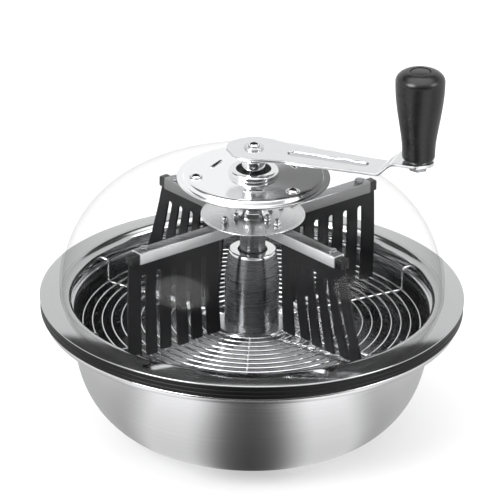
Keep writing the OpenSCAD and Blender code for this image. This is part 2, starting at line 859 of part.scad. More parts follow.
module crank_washer() color("#d8dadc")
    translate([0, 0, arm_top]) tube(crank_washer_r, crank_screw_r, crank_washer_t);

module crank_screw() color("#d0d2d4") {
    z = arm_top + crank_washer_t;
    difference() {
        rotate_extrude($fn = 48)
            polygon(concat(
                [[0, arm_under - 14], [crank_screw_r, arm_under - 14],
                 [crank_screw_r, z], [crank_head_r, z]],
                [for (k = [0:5]) let (a = 90 * k / 5)
                    [crank_head_r * cos(a), z + 0.6 + (crank_head_h - 0.6) * sin(a)]]
            ));
        translate([0, 0, z + 1]) cross_recess(3.6, crank_head_h);
    }
}

// Spacer tube between the collar's boss and the flap disc
module shaft_column() color("#c2c4c7")
    rotate_extrude()
        polygon([
            [crank_r, disc_top], [column_r + column_foot, disc_top],
            [column_r + column_foot, disc_top + 1], [column_r, disc_top + 5],
            [column_r, boss_z - face_gap], [crank_r, boss_z - face_gap]
        ]);

// Polished disc that carries the four channel arms
module flap_disc() color("#d6d8da")
    difference() {
        translate([0, 0, disc_under]) tube(flap_disc_r, stud_r, flap_disc_t);
        for (arm = flap_arms, r = nut_radii) rotate(arm[0])
            translate([r, 0, disc_under - 1]) cylinder(r = m4_r, h = flap_disc_t + 2, $fn = 24);
    }

// Channel arm number k, open below
module flap_arm(k) color("#c8cacd")
    rotate(flap_arms[k][0])
        difference() {
            translate([arm_from, -channel_w / 2, channel_z])
                cube([flap_arms[k][1] - arm_from, channel_w, channel_h]);
            translate([arm_from - 1, -bar_w / 2, channel_z - 1])
                cube([flap_arms[k][1] - arm_from + 2, bar_w, channel_h - channel_t + 1]);
            for (r = concat(nut_radii, [flap_arms[k][1] - tip_bolt_in]))
                translate([r, 0, bar_top - 1]) cylinder(r = m4_r, h = channel_t + 2, $fn = 24);
        }

// Black bar inside the channel that grips the flap's top edge
module flap_bar(k) color("#222224")
    rotate(flap_arms[k][0])
        difference() {
            union() {
                translate([bar_from, -bar_w / 2, channel_z])
                    cube([flap_arms[k][1] - bar_from, bar_w, bar_h]);
                translate([flap_arms[k][1], 0, channel_z + bar_h / 2]) rotate([0, 90, 0])
                    cylinder(r = bar_h / 2, h = bar_over, $fn = 48);
            }
            translate([bar_from - 1, -flap_t / 2, channel_z - 1])
                cube([flap_arms[k][1] + bar_over - bar_from + 2, flap_t, grip_h + 1]);
            translate([flap_arms[k][1] - tip_bolt_in, 0, channel_z + grip_h + 0.5])
                cylinder(r = m4_r, h = bar_h, $fn = 24);
        }

module flap_bars() {
    for (k = [0:len(flap_arms) - 1]) flap_bar(k);
}

// Distance from the axis of a point that is a share u of the way across flap k
function across_flap(k, u, z) =
    let (
        v = (z - flap_foot_z) / (channel_z - flap_foot_z),
        tip = flap_arms[k][1] + bar_over
    )
    flap_from + u * (flap_reach + (tip - flap_reach) * v - flap_from);

// Rubber flap: a band at the top and fingers that spread down to the grate
module flap(k) color("#18181a") {
    tip = flap_arms[k][1] + bar_over;
    slit_z = slit_top - slit_w / 2;
    low = flap_foot_z - 1;
    rotate(flap_arms[k][0]) rotate([90, 0, 0]) translate([0, 0, -flap_t / 2]) linear_extrude(flap_t)
        difference() {
            polygon([
                [flap_from, flap_foot_z], [flap_reach, flap_foot_z],
                [tip, channel_z], [tip, channel_z + grip_h],
                [bar_from, channel_z + grip_h], [bar_from, channel_z],
                [flap_from, channel_z]
            ]);
            for (s = [1:slit_count]) {
                u = s / (slit_count + 1);
                foot = across_flap(k, u, low);
                head = across_flap(k, u, slit_z);
                polygon([
                    [foot - slit_w / 2, low], [foot + slit_w / 2, low],
                    [head + slit_w / 2, slit_z], [head - slit_w / 2, slit_z]
                ]);
                translate([head, slit_z]) circle(r = slit_w / 2, $fn = 24);
            }
        }
}

// Bolts up through each channel and the disc
module arm_bolts() color("#b6b8bb")
    for (arm = flap_arms, r = nut_radii) rotate(arm[0]) translate([r, 0, 0]) {
        translate([0, 0, bar_top - 2.5]) cylinder(r = 3.4, h = 2.5, $fn = 32);
        translate([0, 0, bar_top - tiny])
            cylinder(r = m4_r, h = channel_t + flap_disc_t + arm_nut_h - 1 + tiny, $fn = 24);
    }

// Domed nuts on top of the disc
module arm_nuts() color("#d4d6d8")
    for (arm = flap_arms, r = nut_radii) rotate(arm[0]) translate([r, 0, disc_top])
        difference() {
            union() {
                hexagon(arm_nut_af, arm_nut_h);
                translate([0, 0, arm_nut_h - tiny]) rotate_extrude($fn = 32)
                    polygon(concat([[0, 0]], arc(0, 0, arm_nut_af / 2 - 0.3, 0, 90, 5)));
            }
            translate([0, 0, -1]) cylinder(r = m4_r, h = arm_nut_h, $fn = 24);
        }

// Hexagonal bolts near the arms' tips, down into the black bars
module tip_bolts() color("#8e9093")
    for (arm = flap_arms) rotate(arm[0]) translate([arm[1] - tip_bolt_in, 0, 0]) {
        translate([0, 0, disc_under]) hexagon(8, 3);
        translate([0, 0, channel_z + grip_h + 0.5])
            cylinder(r = m4_r, h = disc_under - channel_z - grip_h - 0.5 + tiny, $fn = 24);
    }

// Sleeve with a hexagonal socket that drops over the carrier's post
module drive_sleeve() color("#54565a")
    difference() {
        translate([0, 0, sleeve_z]) cylinder(r = sleeve_r, h = disc_under - sleeve_z);
        translate([0, 0, disc_under - stud_len]) cylinder(r = stud_r, h = stud_len + 1, $fn = 48);
        translate([0, 0, sleeve_z - 1]) hexagon(hex_af + 2 * hex_fit, socket_h + 1);
    }

module knob_place() {
    rotate(crank_angle) translate([crank_len, 0, 0]) children();
}

// Shoulder bolt fixed in the arm; the knob turns on it
module knob_bolt() color("#a7a9ac")
    knob_place() {
        translate([0, 0, arm_under + arm_rise - knob_nut_h - 1.5])
            cylinder(r = bolt_r, $fn = 48,
                h = knob_z + knob_h - knob_well - arm_under - arm_rise + knob_nut_h + 1.5);
        translate([0, 0, knob_z + knob_h - knob_well + face_gap])
            cylinder(r = bolt_head_r, h = bolt_head_h - face_gap);
        translate([0, 0, knob_z + knob_h - knob_well - tiny])
            cylinder(r = bolt_r, h = face_gap + 2 * tiny, $fn = 48);
    }

module knob_nut() color("#c4c6c8")
    knob_place() translate([0, 0, arm_under + arm_rise - knob_nut_h])
        difference() {
            hexagon(knob_nut_af, knob_nut_h);
            translate([0, 0, -1]) cylinder(r = bolt_r, h = knob_nut_h + 2, $fn = 48);
        }

module knob_washer() color("#c4c6c8")
    knob_place() translate([0, 0, arm_top + arm_rise])
        difference() {
            cylinder(r = knob_washer_r, h = washer_t);
            translate([0, 0, -1]) cylinder(r = bolt_r, h = washer_t + 2, $fn = 48);
        }

// Tall flared grip, hollow for the bolt's head
module knob_grip() color("#1c1c1e") {
    crown = knob_top_r * 0.42;
    knob_place() translate([0, 0, knob_z])
        rotate_extrude()
            polygon(concat(
                [[knob_bore, 0], [knob_foot_r - 1.5, 0], [knob_foot_r, 1.5],
                 [knob_foot_r + 0.5, knob_h * 0.12]],
                [for (k = [1:8]) let (u = k / 8)
                    [knob_foot_r + 0.5 + (knob_top_r - knob_foot_r - 0.5) * pow(sin(90 * u), 1.4),
                     knob_h * 0.12 + (knob_h * 0.88 - crown) * u]],
                [for (k = [1:7]) let (a = 90 * k / 8)
                    [knob_cap_r + (knob_top_r - knob_cap_r) * cos(a), knob_h - crown * (1 - sin(a))]],
                [[knob_cap_r, knob_h], [knob_cap_r, knob_h - knob_well],
                 [knob_bore, knob_h - knob_well]]
            ));
}

// Plug that hides the bolt's head
module knob_cap() color("#1c1c1e")
    knob_place() translate([0, 0, knob_z + knob_h - cap_t])
        rotate_extrude()
            polygon([[0, 0], [knob_cap_r, 0], [knob_cap_r, cap_t - 0.8],
                     [knob_cap_r - 1.2, cap_t], [0, cap_t]]);

bowl_lip();
bowl();
bowl_side();
bowl_base();
rim_gasket();
support_ring();
grate_rings();
grate_spokes();
mount_disc();
gear_housing();
housing_cap();
housing_plug();
ring_gear();
input_bearing();
output_bearing();
base_screws();
planet_carrier();
planet_pins();
planet_gear(0);  // planet_gear_1
planet_gear(1);  // planet_gear_2
planet_gear(2);  // planet_gear_3
sun_shaft();
blade_collar();
upper_blade();
blade_spacer();
lower_blade();
blade_nut();
dome();
dome_crown();
top_plate();
plate_seal();
collar();
collar_bush();
clamp_plate();
top_screws();
top_nuts();
crank_arm();
crank_shaft();
crank_washer();
crank_screw();
shaft_column();
flap_disc();
flap_arm(0);  // flap_arm_1
flap_arm(1);  // flap_arm_2
flap_arm(2);  // flap_arm_3
flap_arm(3);  // flap_arm_4
flap_bars();
flap(0);  // flap_1
flap(1);  // flap_2
flap(2);  // flap_3
flap(3);  // flap_4
arm_bolts();
arm_nuts();
tip_bolts();
drive_sleeve();
knob_bolt();
knob_nut();
knob_washer();
knob_grip();
knob_cap();
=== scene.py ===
import bmesh
import bpy
import json
from math import asin, atan2, cos, degrees, hypot, pi, radians, sin, sqrt, tau
from mathutils import Matrix, Vector


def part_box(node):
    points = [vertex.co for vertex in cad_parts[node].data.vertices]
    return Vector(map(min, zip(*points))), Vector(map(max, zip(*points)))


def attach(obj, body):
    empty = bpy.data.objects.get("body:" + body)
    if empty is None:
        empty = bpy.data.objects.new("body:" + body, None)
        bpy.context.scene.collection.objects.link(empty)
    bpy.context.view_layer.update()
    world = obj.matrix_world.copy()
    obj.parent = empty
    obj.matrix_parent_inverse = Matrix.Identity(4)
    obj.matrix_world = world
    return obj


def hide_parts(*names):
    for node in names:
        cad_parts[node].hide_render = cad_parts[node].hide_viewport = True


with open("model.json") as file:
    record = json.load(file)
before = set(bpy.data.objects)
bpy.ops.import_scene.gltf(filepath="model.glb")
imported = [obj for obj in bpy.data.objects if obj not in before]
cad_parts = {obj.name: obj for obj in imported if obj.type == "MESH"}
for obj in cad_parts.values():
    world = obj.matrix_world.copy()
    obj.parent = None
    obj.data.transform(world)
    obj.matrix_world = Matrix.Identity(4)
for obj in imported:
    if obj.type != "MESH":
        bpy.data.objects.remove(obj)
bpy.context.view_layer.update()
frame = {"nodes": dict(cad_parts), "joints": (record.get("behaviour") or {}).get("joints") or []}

mm = 0.001
scene = bpy.context.scene
print("frame loaded")


# places taken from the frame, in millimetres
def span(node):
    low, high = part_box(node)
    return {"r": (high.x - low.x) / 2 / mm, "low": low.z / mm, "high": high.z / mm}


jointOf = {joint["name"]: joint for joint in frame["joints"]}
knobAxis = Vector(jointOf["knob_spin"]["pos_m"]) / mm
crankTurn = degrees(atan2(knobAxis.y, knobAxis.x))      # direction of the crank at rest
crankReach = hypot(knobAxis.x, knobAxis.y)
rim = span("support_ring")
lip = span("bowl_lip")
gasket = span("rim_gasket")
plate = span("top_plate")
domeWall, domeTop = span("dome"), span("dome_crown")
disc = span("flap_disc")
housing = span("gear_housing")


# points of an arc, from one angle to another in degrees
def arc(cx, cz, radius, start, end, steps):
    angles = [radians(start + (end - start) * k / steps) for k in range(steps + 1)]
    return [(cx + radius * cos(a), cz + radius * sin(a)) for a in angles]


# corners maps a rounding in millimetres to the vertices that get it
def roundCorners(bm, corners):
    for size, verts in sorted(corners.items()):
        bmesh.ops.bevel(bm, geom=verts, offset=size * mm, offset_type="OFFSET", affect="VERTICES",
                        segments=4, profile=0.5, material=-1, clamp_overlap=True)


def outlineVerts(bm, outline, place):
    verts, corners = [], {}
    for point in outline:
        vert = bm.verts.new(place(point[0] * mm, point[1] * mm))
        verts.append(vert)
        if len(point) > 2:
            corners.setdefault(point[2], []).append(vert)
    return verts, corners


# turns an outline of (radius, height[, rounding]) about the upright axis
def lathe(outline, steps=144, closed=True, bm=None):
    bm = bm or bmesh.new()
    part = bmesh.new()
    verts, corners = outlineVerts(part, outline, lambda x, z: (x, 0, z))
    if closed:
        part.faces.new(verts)
    else:
        for a, b in zip(verts, verts[1:]):
            part.edges.new((a, b))
    roundCorners(part, corners)
    bmesh.ops.delete(part, geom=part.faces[:], context="FACES_ONLY")
    bmesh.ops.spin(part, geom=part.verts[:] + part.edges[:], cent=(0, 0, 0), axis=(0, 0, 1),
                   angle=tau, steps=steps, use_merge=True)
    bmesh.ops.remove_doubles(part, verts=part.verts[:], dist=1e-7)
    bmesh.ops.recalc_face_normals(part, faces=part.faces[:])
    return joined(bm, part)


def joined(bm, part):
    mesh = bpy.data.meshes.new("part")
    part.to_mesh(mesh)
    part.free()
    bm.from_mesh(mesh)
    bpy.data.meshes.remove(mesh)
    return bm


def roundEdges(bm, size, edges):
    bmesh.ops.bevel(bm, geom=edges, offset=size * mm, offset_type="OFFSET", affect="EDGES", segments=2,
                    profile=0.5, material=-1, clamp_overlap=True)


def sharpEdges(bm, angle):
    return [e for e in bm.edges if len(e.link_faces) == 2 and e.calc_face_angle() > angle]


# gives a flat bmesh a depth, a vector in millimetres
def thicken(bm, depth):
    made = bmesh.ops.extrude_face_region(bm, geom=bm.faces[:])
    far = [g for g in made["geom"] if isinstance(g, bmesh.types.BMVert)]
    bmesh.ops.translate(bm, verts=far, vec=Vector(depth) * mm)


# extrudes an outline; place maps its two coordinates to a point
def prism(outline, depth, place, rounding=0.3):
    bm = bmesh.new()
    verts, corners = outlineVerts(bm, outline, place)
    bm.faces.new(verts)
    roundCorners(bm, corners)
    thicken(bm, depth)
    bmesh.ops.recalc_face_normals(bm, faces=bm.faces[:])
    if rounding:
        roundEdges(bm, rounding, sharpEdges(bm, 0.5))
    return bm


# turns a bmesh about the upright axis by degrees, after a shift in millimetres
def moved(bm, offset=(0, 0, 0), turn=0.0):
    bmesh.ops.translate(bm, verts=bm.verts[:], vec=Vector(offset) * mm)
    bmesh.ops.rotate(bm, verts=bm.verts[:], cent=(0, 0, 0), matrix=Matrix.Rotation(radians(turn), 3, "Z"))
    return bm


def hexBlock(flats, low, high, chamfer=0.5):
    bm = bmesh.new()
    bmesh.ops.create_cone(bm, cap_ends=True, segments=6, depth=(high - low) * mm,
                          radius1=flats / sqrt(3) * mm, radius2=flats / sqrt(3) * mm,
                          matrix=Matrix.Translation((0, 0, (high + low) / 2 * mm)))
    roundEdges(bm, chamfer, bm.edges[:])
    return bm


def asObject(bm, name):
    mesh = bpy.data.meshes.new(name)
    bm.to_mesh(mesh)
    bm.free()
    piece = bpy.data.objects.new(name, mesh)
    scene.collection.objects.link(piece)
    return piece


# takes the cutter's volume out of a mesh
def cut(bm, cutter):
    body, tool = asObject(bm, "cutBody"), asObject(cutter, "cutTool")
    step = body.modifiers.new("cut", "BOOLEAN")
    step.operation, step.object, step.solver = "DIFFERENCE", tool, "EXACT"
    mesh = bpy.data.meshes.new_from_object(body.evaluated_get(bpy.context.evaluated_depsgraph_get()))
    result = bmesh.new()
    result.from_mesh(mesh)
    for old in (body, tool):
        bpy.data.objects.remove(old)
    bpy.data.meshes.remove(mesh)
    return result


# with more than one finish, each face's material index says which it has
def makePiece(bm, name, material, body, nodes, sharp=32):
    piece = asObject(bm, name)
    piece.data.shade_smooth()
    piece.data.set_sharp_from_angle(angle=radians(sharp))
    for finish in material if isinstance(material, tuple) else (material,):
        piece.data.materials.append(finish)
    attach(piece, body)
    if nodes:
        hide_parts(*nodes)
    return piece


# a node tree, with short ways to add to it
class Nodes:
    def __init__(self, owner, empty=False):
        owner.use_nodes = True
        self.tree = owner.node_tree
        if empty:
            self.tree.nodes.clear()

    def add(self, kind, **values):
        node = self.tree.nodes.new("ShaderNode" + kind)
        for key, value in values.items():
            setattr(node, key, value)
        return node

    def link(self, source, target):
        self.tree.links.new(source, target)

    def maths(self, operation, a, b=0.0):
        node = self.add("Math", operation=operation)
        for socket, value in zip(node.inputs, (a, b)):
            if hasattr(value, "links"):
                self.link(value, socket)
            else:
                socket.default_value = value
        return node.outputs[0]

    def split(self, vector):
        node = self.add("SeparateXYZ")
        self.link(vector, node.inputs[0])
        return node.outputs

    def length(self, x, y):
        squares = self.maths("ADD", self.maths("MULTIPLY", x, x), self.maths("MULTIPLY", y, y))
        return self.maths("SQRT", squares)

    # moves a value from one range to another; noise lies mostly between the default limits
    def spread(self, value, low, high, fromLow=0.3, fromHigh=0.7, soft=False):
        node = self.add("MapRange", interpolation_type="SMOOTHSTEP" if soft else "LINEAR")
        for key, number in zip(("From Min", "From Max", "To Min", "To Max"), (fromLow, fromHigh, low, high)):
            node.inputs[key].default_value = number
        self.link(value, node.inputs["Value"])
        return node.outputs["Result"]

    # a colour between two, by a value from 0 to 1
    def blend(self, value, first, second):
        node = self.add("Mix", data_type="RGBA")
        ends = [socket for socket in node.inputs if socket.type == "RGBA"]
        ends[0].default_value, ends[1].default_value = (*first, 1), (*second, 1)
        self.link(value, node.inputs["Factor"])
        return [socket for socket in node.outputs if socket.type == "RGBA"][0]


# a piece's material
class Shade(Nodes):
    def __init__(self, name, colour, metallic, roughness):
        self.material = bpy.data.materials.new(name)
        super().__init__(self.material)
        self.shader = self.tree.nodes["Principled BSDF"]
        self.output = self.tree.nodes["Material Output"]
        self.colour = colour
        self.set("Base Color", (*colour, 1))
        self.set("Metallic", metallic)
        self.set("Roughness", roughness)

    def set(self, socket, value):
        self.shader.inputs[socket].default_value = value

    def feed(self, source, socket):
        self.link(source, self.shader.inputs[socket])

    def place(self, turn=0.0, scale=(1, 1, 1)):
        mapping = self.add("Mapping")
        mapping.inputs["Rotation"].default_value = (0, 0, radians(turn))
        mapping.inputs["Scale"].default_value = scale
        self.link(self.add("TexCoord").outputs["Object"], mapping.inputs["Vector"])
        return mapping.outputs["Vector"]

    # coordinates for marks that run in circles about the upright axis
    def around(self, fine, along=6.0):
        x, y, z = self.split(self.add("TexCoord").outputs["Object"])
        merged = self.add("CombineXYZ")
        self.link(self.maths("MULTIPLY", self.length(x, y), fine), merged.inputs[0])
        self.link(self.maths("MULTIPLY", z, fine), merged.inputs[1])
        self.link(self.maths("MULTIPLY", self.maths("ADD", x, y), along), merged.inputs[2])
        return merged.outputs[0]

    def noise(self, vector, scale, detail=3.0, roughness=0.55):
        node = self.add("TexNoise")
        for key, number in zip(("Scale", "Detail", "Roughness"), (scale, detail, roughness)):
            node.inputs[key].default_value = number
        self.link(vector, node.inputs["Vector"])
        return node.outputs["Fac"]

    def bump(self, height, strength, distance):
        node = self.add("Bump")
        node.inputs["Strength"].default_value = strength
        node.inputs["Distance"].default_value = distance
        self.link(height, node.inputs["Height"])
        self.feed(node.outputs["Normal"], "Normal")

    # colours the surface between two shares of its own colour
    def tint(self, value, dark, light):
        ends = [[min(1, c * share) for c in self.colour] for share in (dark, light)]
        self.feed(self.blend(value, *ends), "Base Color")

    def tangent(self):
        self.feed(self.add("Tangent", direction_type="RADIAL", axis="Z").outputs[0], "Tangent")


markDepth = {"brushing": 0.00006, "grain": 0.00008}      # in metres


# metal with brushing in circles, or along a direction when turn is given
def metal(name, colour, roughness, grain=0.0, fine=900.0, smudge=0.05, turn=None, stretch=0.0, depth=0.3,
          tall=False):
    shade = Shade(name, colour, 1.0, roughness)
    if turn is None:
        marks = shade.noise(shade.around(fine), 1.0, 4.0)
    else:
        marks = shade.noise(shade.place(turn, (9, fine, fine)), 1.0, 4.0)
    stains = shade.noise(shade.place(), 28.0, 4.0, 0.6)
    rough = shade.maths("ADD", shade.spread(marks, roughness - grain, roughness + grain),
                        shade.spread(stains, -smudge, smudge))
    shade.feed(shade.maths("MAXIMUM", rough, 0.03), "Roughness")
    shade.bump(marks, depth, markDepth["brushing"])
    shade.tint(marks, 0.93, 1.05)
    if stretch:
        shade.set("Anisotropic", stretch)
        shade.set("Anisotropic Rotation", 0.25 * tall)
        shade.tangent()
    return shade.material


# black rubber or plastic with a fine grain and a little grey bloom
def rubber(name, colour, roughness, grainScale=1400.0, depth=0.25, gloss=0.5):
    shade = Shade(name, colour, 0.0, roughness)
    grain = shade.noise(shade.place(), grainScale, 2.0)
    cloud = shade.noise(shade.place(), 22.0, 5.0, 0.65)
    rough = shade.maths("ADD", shade.spread(grain, -0.04, 0.04),
                        shade.spread(cloud, roughness - 0.08, roughness + 0.08))
    shade.feed(rough, "Roughness")
    shade.tint(cloud, 0.7, 1.5)
    shade.bump(grain, depth, markDepth["grain"])
    shade.set("Specular IOR Level", gloss)
    return shade.material


finishes = {
    "bowl": metal("drawnSteel", (0.72, 0.72, 0.73), 0.17, 0.04, 700.0, 0.03, stretch=0.45, depth=0.12),
    # painted shade: the bowl's inside is a dark grey
    "inside": metal("bowlInsidePaintedShade", (0.16, 0.162, 0.168), 0.24, 0.05, 700.0, 0.05, depth=0.12),
    "ring": metal("ringBrushed", (0.545, 0.55, 0.553), 0.08, 0.03, 1100.0, 0.02, depth=0.12),
    "wire": metal("brightWire", (0.86, 0.865, 0.87), 0.10, 0.03, 400.0, 0.03, depth=0.05),
    "hub": metal("turnedChrome", (0.16, 0.162, 0.168), 0.28, 0.06, 1500.0, 0.03, stretch=0.92, depth=0.3,
                 tall=True),
    "mirror": metal("mirrorSteel", (0.84, 0.845, 0.85), 0.06, 0.02, 900.0, 0.02, depth=0.05),
    "machined": metal("machinedSteel", (0.60, 0.605, 0.62), 0.30, 0.08, 900.0, 0.05, depth=0.3),
    "bronze": metal("oiledBronze", (0.52, 0.33, 0.14), 0.38, 0.06, 700.0, 0.08, depth=0.2),
    "blade": metal("groundBlade", (0.80, 0.805, 0.82), 0.16, 0.05, 900.0, 0.03, depth=0.2),
    "fastener": metal("brightFastener", (0.70, 0.705, 0.72), 0.18, 0.04, 900.0, 0.05, depth=0.12),
    # painted shade: the groove's floor and walls get darker greys than the sheet
    "grooveFloorShade": metal("pressedGrooveShade", (0.62, 0.625, 0.635), 0.16, 0.03, 900.0, 0.04, turn=-crankTurn,
                         depth=0.06),
    "grooveWallShade": metal("pressedWallShade", (0.30, 0.305, 0.315), 0.20, 0.03, 900.0, 0.04, turn=-crankTurn,
                        depth=0.06),
    "crank": metal("pressedSteel", (0.80, 0.805, 0.815), 0.13, 0.03, 900.0, 0.04, turn=-crankTurn,
                   depth=0.06),
    "darkNut": metal("dullFastener", (0.40, 0.405, 0.415), 0.26, 0.05, 900.0, 0.05, depth=0.2),
    "gasket": rubber("gasketRubber", (0.004, 0.004, 0.0045), 0.36, gloss=0.22),
    "flap": rubber("flapRubber", (0.007, 0.007, 0.008), 0.46, 900.0, 0.2, gloss=0.25),
    "seal": rubber("sealRubber", (0.008, 0.008, 0.009), 0.55, gloss=0.3),
    # black plastic, also used as painted shade in the screws' recesses and as painted shadow round their
    # heads
    "plastic": rubber("blackPlastic", (0.006, 0.006, 0.0065), 0.28, 1800.0, 0.15, gloss=0.35),
    "knob": rubber("knobPlastic", (0.006, 0.006, 0.0065), 0.26, 2200.0, 0.12, gloss=0.45),
}
domeLook = {"clearest": 0.998, "edgeTint": 0.85, "tintPower": 2.2, "gloss": 0.003, "edgeGloss": 0.07,
            "glossPower": 5.0, "wearScale": 60.0}


# thin clear plastic: what is behind it shows through, with a gloss that grows towards its edges
def clearPlastic():
    shade = Shade("clearPlastic", (1, 1, 1), 0.0, 0.03)
    facing = shade.add("LayerWeight")
    facing.inputs["Blend"].default_value = 0.5
    tinted = shade.maths("POWER", facing.outputs["Facing"], domeLook["tintPower"])
    edge = shade.maths("POWER", facing.outputs["Facing"], domeLook["glossPower"])
    haze, gloss, mix = shade.add("BsdfTransparent"), shade.add("BsdfGlossy"), shade.add("MixShader")
    tint = shade.blend(tinted, [domeLook["clearest"]] * 3, [domeLook["edgeTint"]] * 3)
    shade.link(tint, haze.inputs["Color"])
    gloss.inputs["Color"].default_value = (1, 1, 1, 1)
    wear = shade.noise(shade.place(), domeLook["wearScale"], 5.0, 0.6)
    shade.link(shade.spread(wear, 0.02, 0.07), gloss.inputs["Roughness"])
    share = shade.maths("ADD", shade.maths("MULTIPLY", edge, domeLook["edgeGloss"]), domeLook["gloss"])
    shade.link(share, mix.inputs["Fac"])
    shade.link(haze.outputs[0], mix.inputs[1])
    shade.link(gloss.outputs[0], mix.inputs[2])
    shade.link(mix.outputs[0], shade.output.inputs["Surface"])
    shade.tree.nodes.remove(shade.shader)
    return shade.material


# light and dark: the greys of a painted sheen around the axis; the plate gets a dark wedge, the disc a narrow
# bright streak, a painted highlight
plateLook = {"turn": 12.0, "light": 0.95, "dark": 0.16, "from": -0.1, "to": 1.0, "smooth": 0.10,
             "rough": 0.17, "depth": 0.1}
discLook = {"turn": 90.0, "light": 0.86, "dark": 1.0, "from": 0.80, "to": 0.995, "smooth": 0.20,
            "rough": 0.26, "depth": 0.02}


# spun steel with a painted sheen: its colour goes from light to dark around the axis
def spunWithPaintedSheen(name, look):
    light, dark = [(grey * 0.995, grey, grey * 1.01) for grey in (look["light"], look["dark"])]
    shade = Shade(name, light, 1.0, look["rough"])
    marks = shade.noise(shade.around(1100.0), 1.0, 4.0)
    x, y, z = shade.split(shade.place(look["turn"]))
    towards = shade.maths("ADD", shade.maths("DIVIDE", x, shade.length(x, y)),
                          shade.spread(marks, -0.06, 0.06))
    paintedSheen = shade.spread(towards, 0.0, 1.0, look["from"], look["to"], soft=True)
    # painted sheen: the base colour goes from light to dark by the direction about the axis
    shade.feed(shade.blend(paintedSheen, light, dark), "Base Color")
    shade.feed(shade.spread(marks, look["smooth"], look["rough"]), "Roughness")
    shade.bump(marks, look["depth"], markDepth["brushing"])
    shade.set("Anisotropic", 0.5)
    shade.tangent()
    return shade.material


finishes["spunPlatePaintedSheen"] = spunWithPaintedSheen("spunPlatePaintedSheen", plateLook)
finishes["spunDiscPaintedSheen"] = spunWithPaintedSheen("spunDiscPaintedSheen", discLook)
finishes["clear"] = clearPlastic()
print("materials made")

bowlShape = {"baseR": 60, "mouthR": 171, "wall": 1.2, "power": 2.5, "lipH": 7.9, "steps": 44,
             "ease": 0.8, "lipSteps": 20}


# the wall's curve, a quarter of a superellipse from the mouth down to the foot
def bodyCurve(mouth, foot, top, bottom):
    power, steps = 2 / bowlShape["power"], bowlShape["steps"]
    angles = [pi / 2 * k / steps for k in range(steps + 1)]
    return [(foot + (mouth - foot) * max(cos(a), 0) ** power, top - (top - bottom) * sin(a) ** power)
            for a in angles]


def makeBowl():
    wall, mouth, base = bowlShape["wall"], bowlShape["mouthR"], bowlShape["baseR"]
    roll = bowlShape["lipH"] / 2
    top, shoulder, ease = lip["high"], lip["high"] - bowlShape["lipH"], bowlShape["ease"]
    curl = -180 + degrees(asin((roll - wall) / roll))
    outer = bodyCurve(mouth, base, shoulder, 0)
    inner = bodyCurve(mouth - wall, base - wall, shoulder, wall)
    outline = [(0, wall)] + inner[::-1] + [(mouth - wall, top - ease), (mouth - wall + ease, top)]
    outline += arc(lip["r"] - roll, top - roll, roll, 90, curl, bowlShape["lipSteps"])
    outline += [(mouth + ease, top - wall), (mouth, top - wall - ease)] + outer + [(0, 0)]
    shell = makePiece(lathe(outline, 192, closed=False), "bowlShell", (finishes["bowl"], finishes["inside"]),
                      "bowl", ["bowl_lip", "bowl", "bowl_side", "bowl_base"], 50)
    for face in shell.data.polygons:    # the inside is painted dark, as painted shade
        facing = face.normal.z * 0.5 - (face.normal.xy @ face.center.xy.normalized())
        face.material_index = int(facing > 0.1 and face.center.xy.length < (mouth - 0.4) * mm)


makeBowl()

gasketShape = {"bore": 176, "edge": 1.3, "groove": 0.7, "easing": 0.3, "band": 0.2, "foot": 0.6}


def makeGasket():
    r, low, high = gasket["r"], gasket["low"], gasket["high"]
    g, easing, side = gasketShape["groove"], gasketShape["easing"], r - gasketShape["band"]
    third = (high - low) / 3
    outline = [(gasketShape["bore"], low), (r - gasketShape["foot"], low, gasketShape["edge"])]
    for k in (1, 2):
        z = low + third * k
        outline += [(side, z - g, easing), (side - g, z, easing), (side, z + g, easing)]
    outline += [(r, high, gasketShape["edge"]), (gasketShape["bore"], high)]
    makePiece(lathe(outline, 192), "rimGasket", finishes["gasket"], "bowl", ["rim_gasket"])


ringShape = {"flat": 22, "rise": 3, "shoulder": 8.4, "thick": 1.2}


def makeRing():
    r, top, t = rim["r"], rim["high"], ringShape["thick"]
    inner, shoulder = r - ringShape["flat"], ringShape["shoulder"]
    edge = top - ringShape["rise"]
    outline = [(r, edge - t, 0.4), (r, edge, 0.5), (inner + 1, top - 0.14, 0.2)]
    outline += arc(inner, top - shoulder, shoulder, 90, 180, 16)
    outline += [(inner - shoulder, rim["low"], 0.4), (inner - shoulder + t, rim["low"], 0.4)]
    outline += arc(inner, top - shoulder, shoulder - t, 180, 90, 16)
    makePiece(lathe(outline, 192), "supportRing", finishes["ring"], "grate_unit", ["support_ring"])


makeGasket()
makeRing()
print("bowl, gasket and ring made")

grateShape = {"wires": 14, "firstR": 41, "spokes": 6, "spokeTurn": 28, "spokeD": 2.6, "bend": 4, "hubR": 33,
              "standOff": 7.6, "steps": 168, "sides": 12}


def torus(radius, height, thick):
    bm = bmesh.new()
    bmesh.ops.create_circle(bm, segments=grateShape["sides"], radius=thick / 2 * mm,
                            matrix=Matrix.Translation((radius * mm, 0, height * mm))
                            @ Matrix.Rotation(pi / 2, 4, "X"))
    bmesh.ops.spin(bm, geom=bm.verts[:] + bm.edges[:], cent=(0, 0, 0), axis=(0, 0, 1), angle=tau,
                   steps=grateShape["steps"], use_merge=True)
    bmesh.ops.remove_doubles(bm, verts=bm.verts[:], dist=1e-7)
    bmesh.ops.recalc_face_normals(bm, faces=bm.faces[:])
    return bm


def makeWires():
    box = span("grate_rings")
    thick = box["high"] - box["low"]
    lastR, middle = box["r"] - thick / 2, (box["high"] + box["low"]) / 2
    bm = bmesh.new()
    for k in range(grateShape["wires"]):
        radius = grateShape["firstR"] + (lastR - grateShape["firstR"]) * k / (grateShape["wires"] - 1)
        joined(bm, torus(radius, middle, thick))
    makePiece(bm, "grateWires", finishes["wire"], "grate_unit", ["grate_rings"])


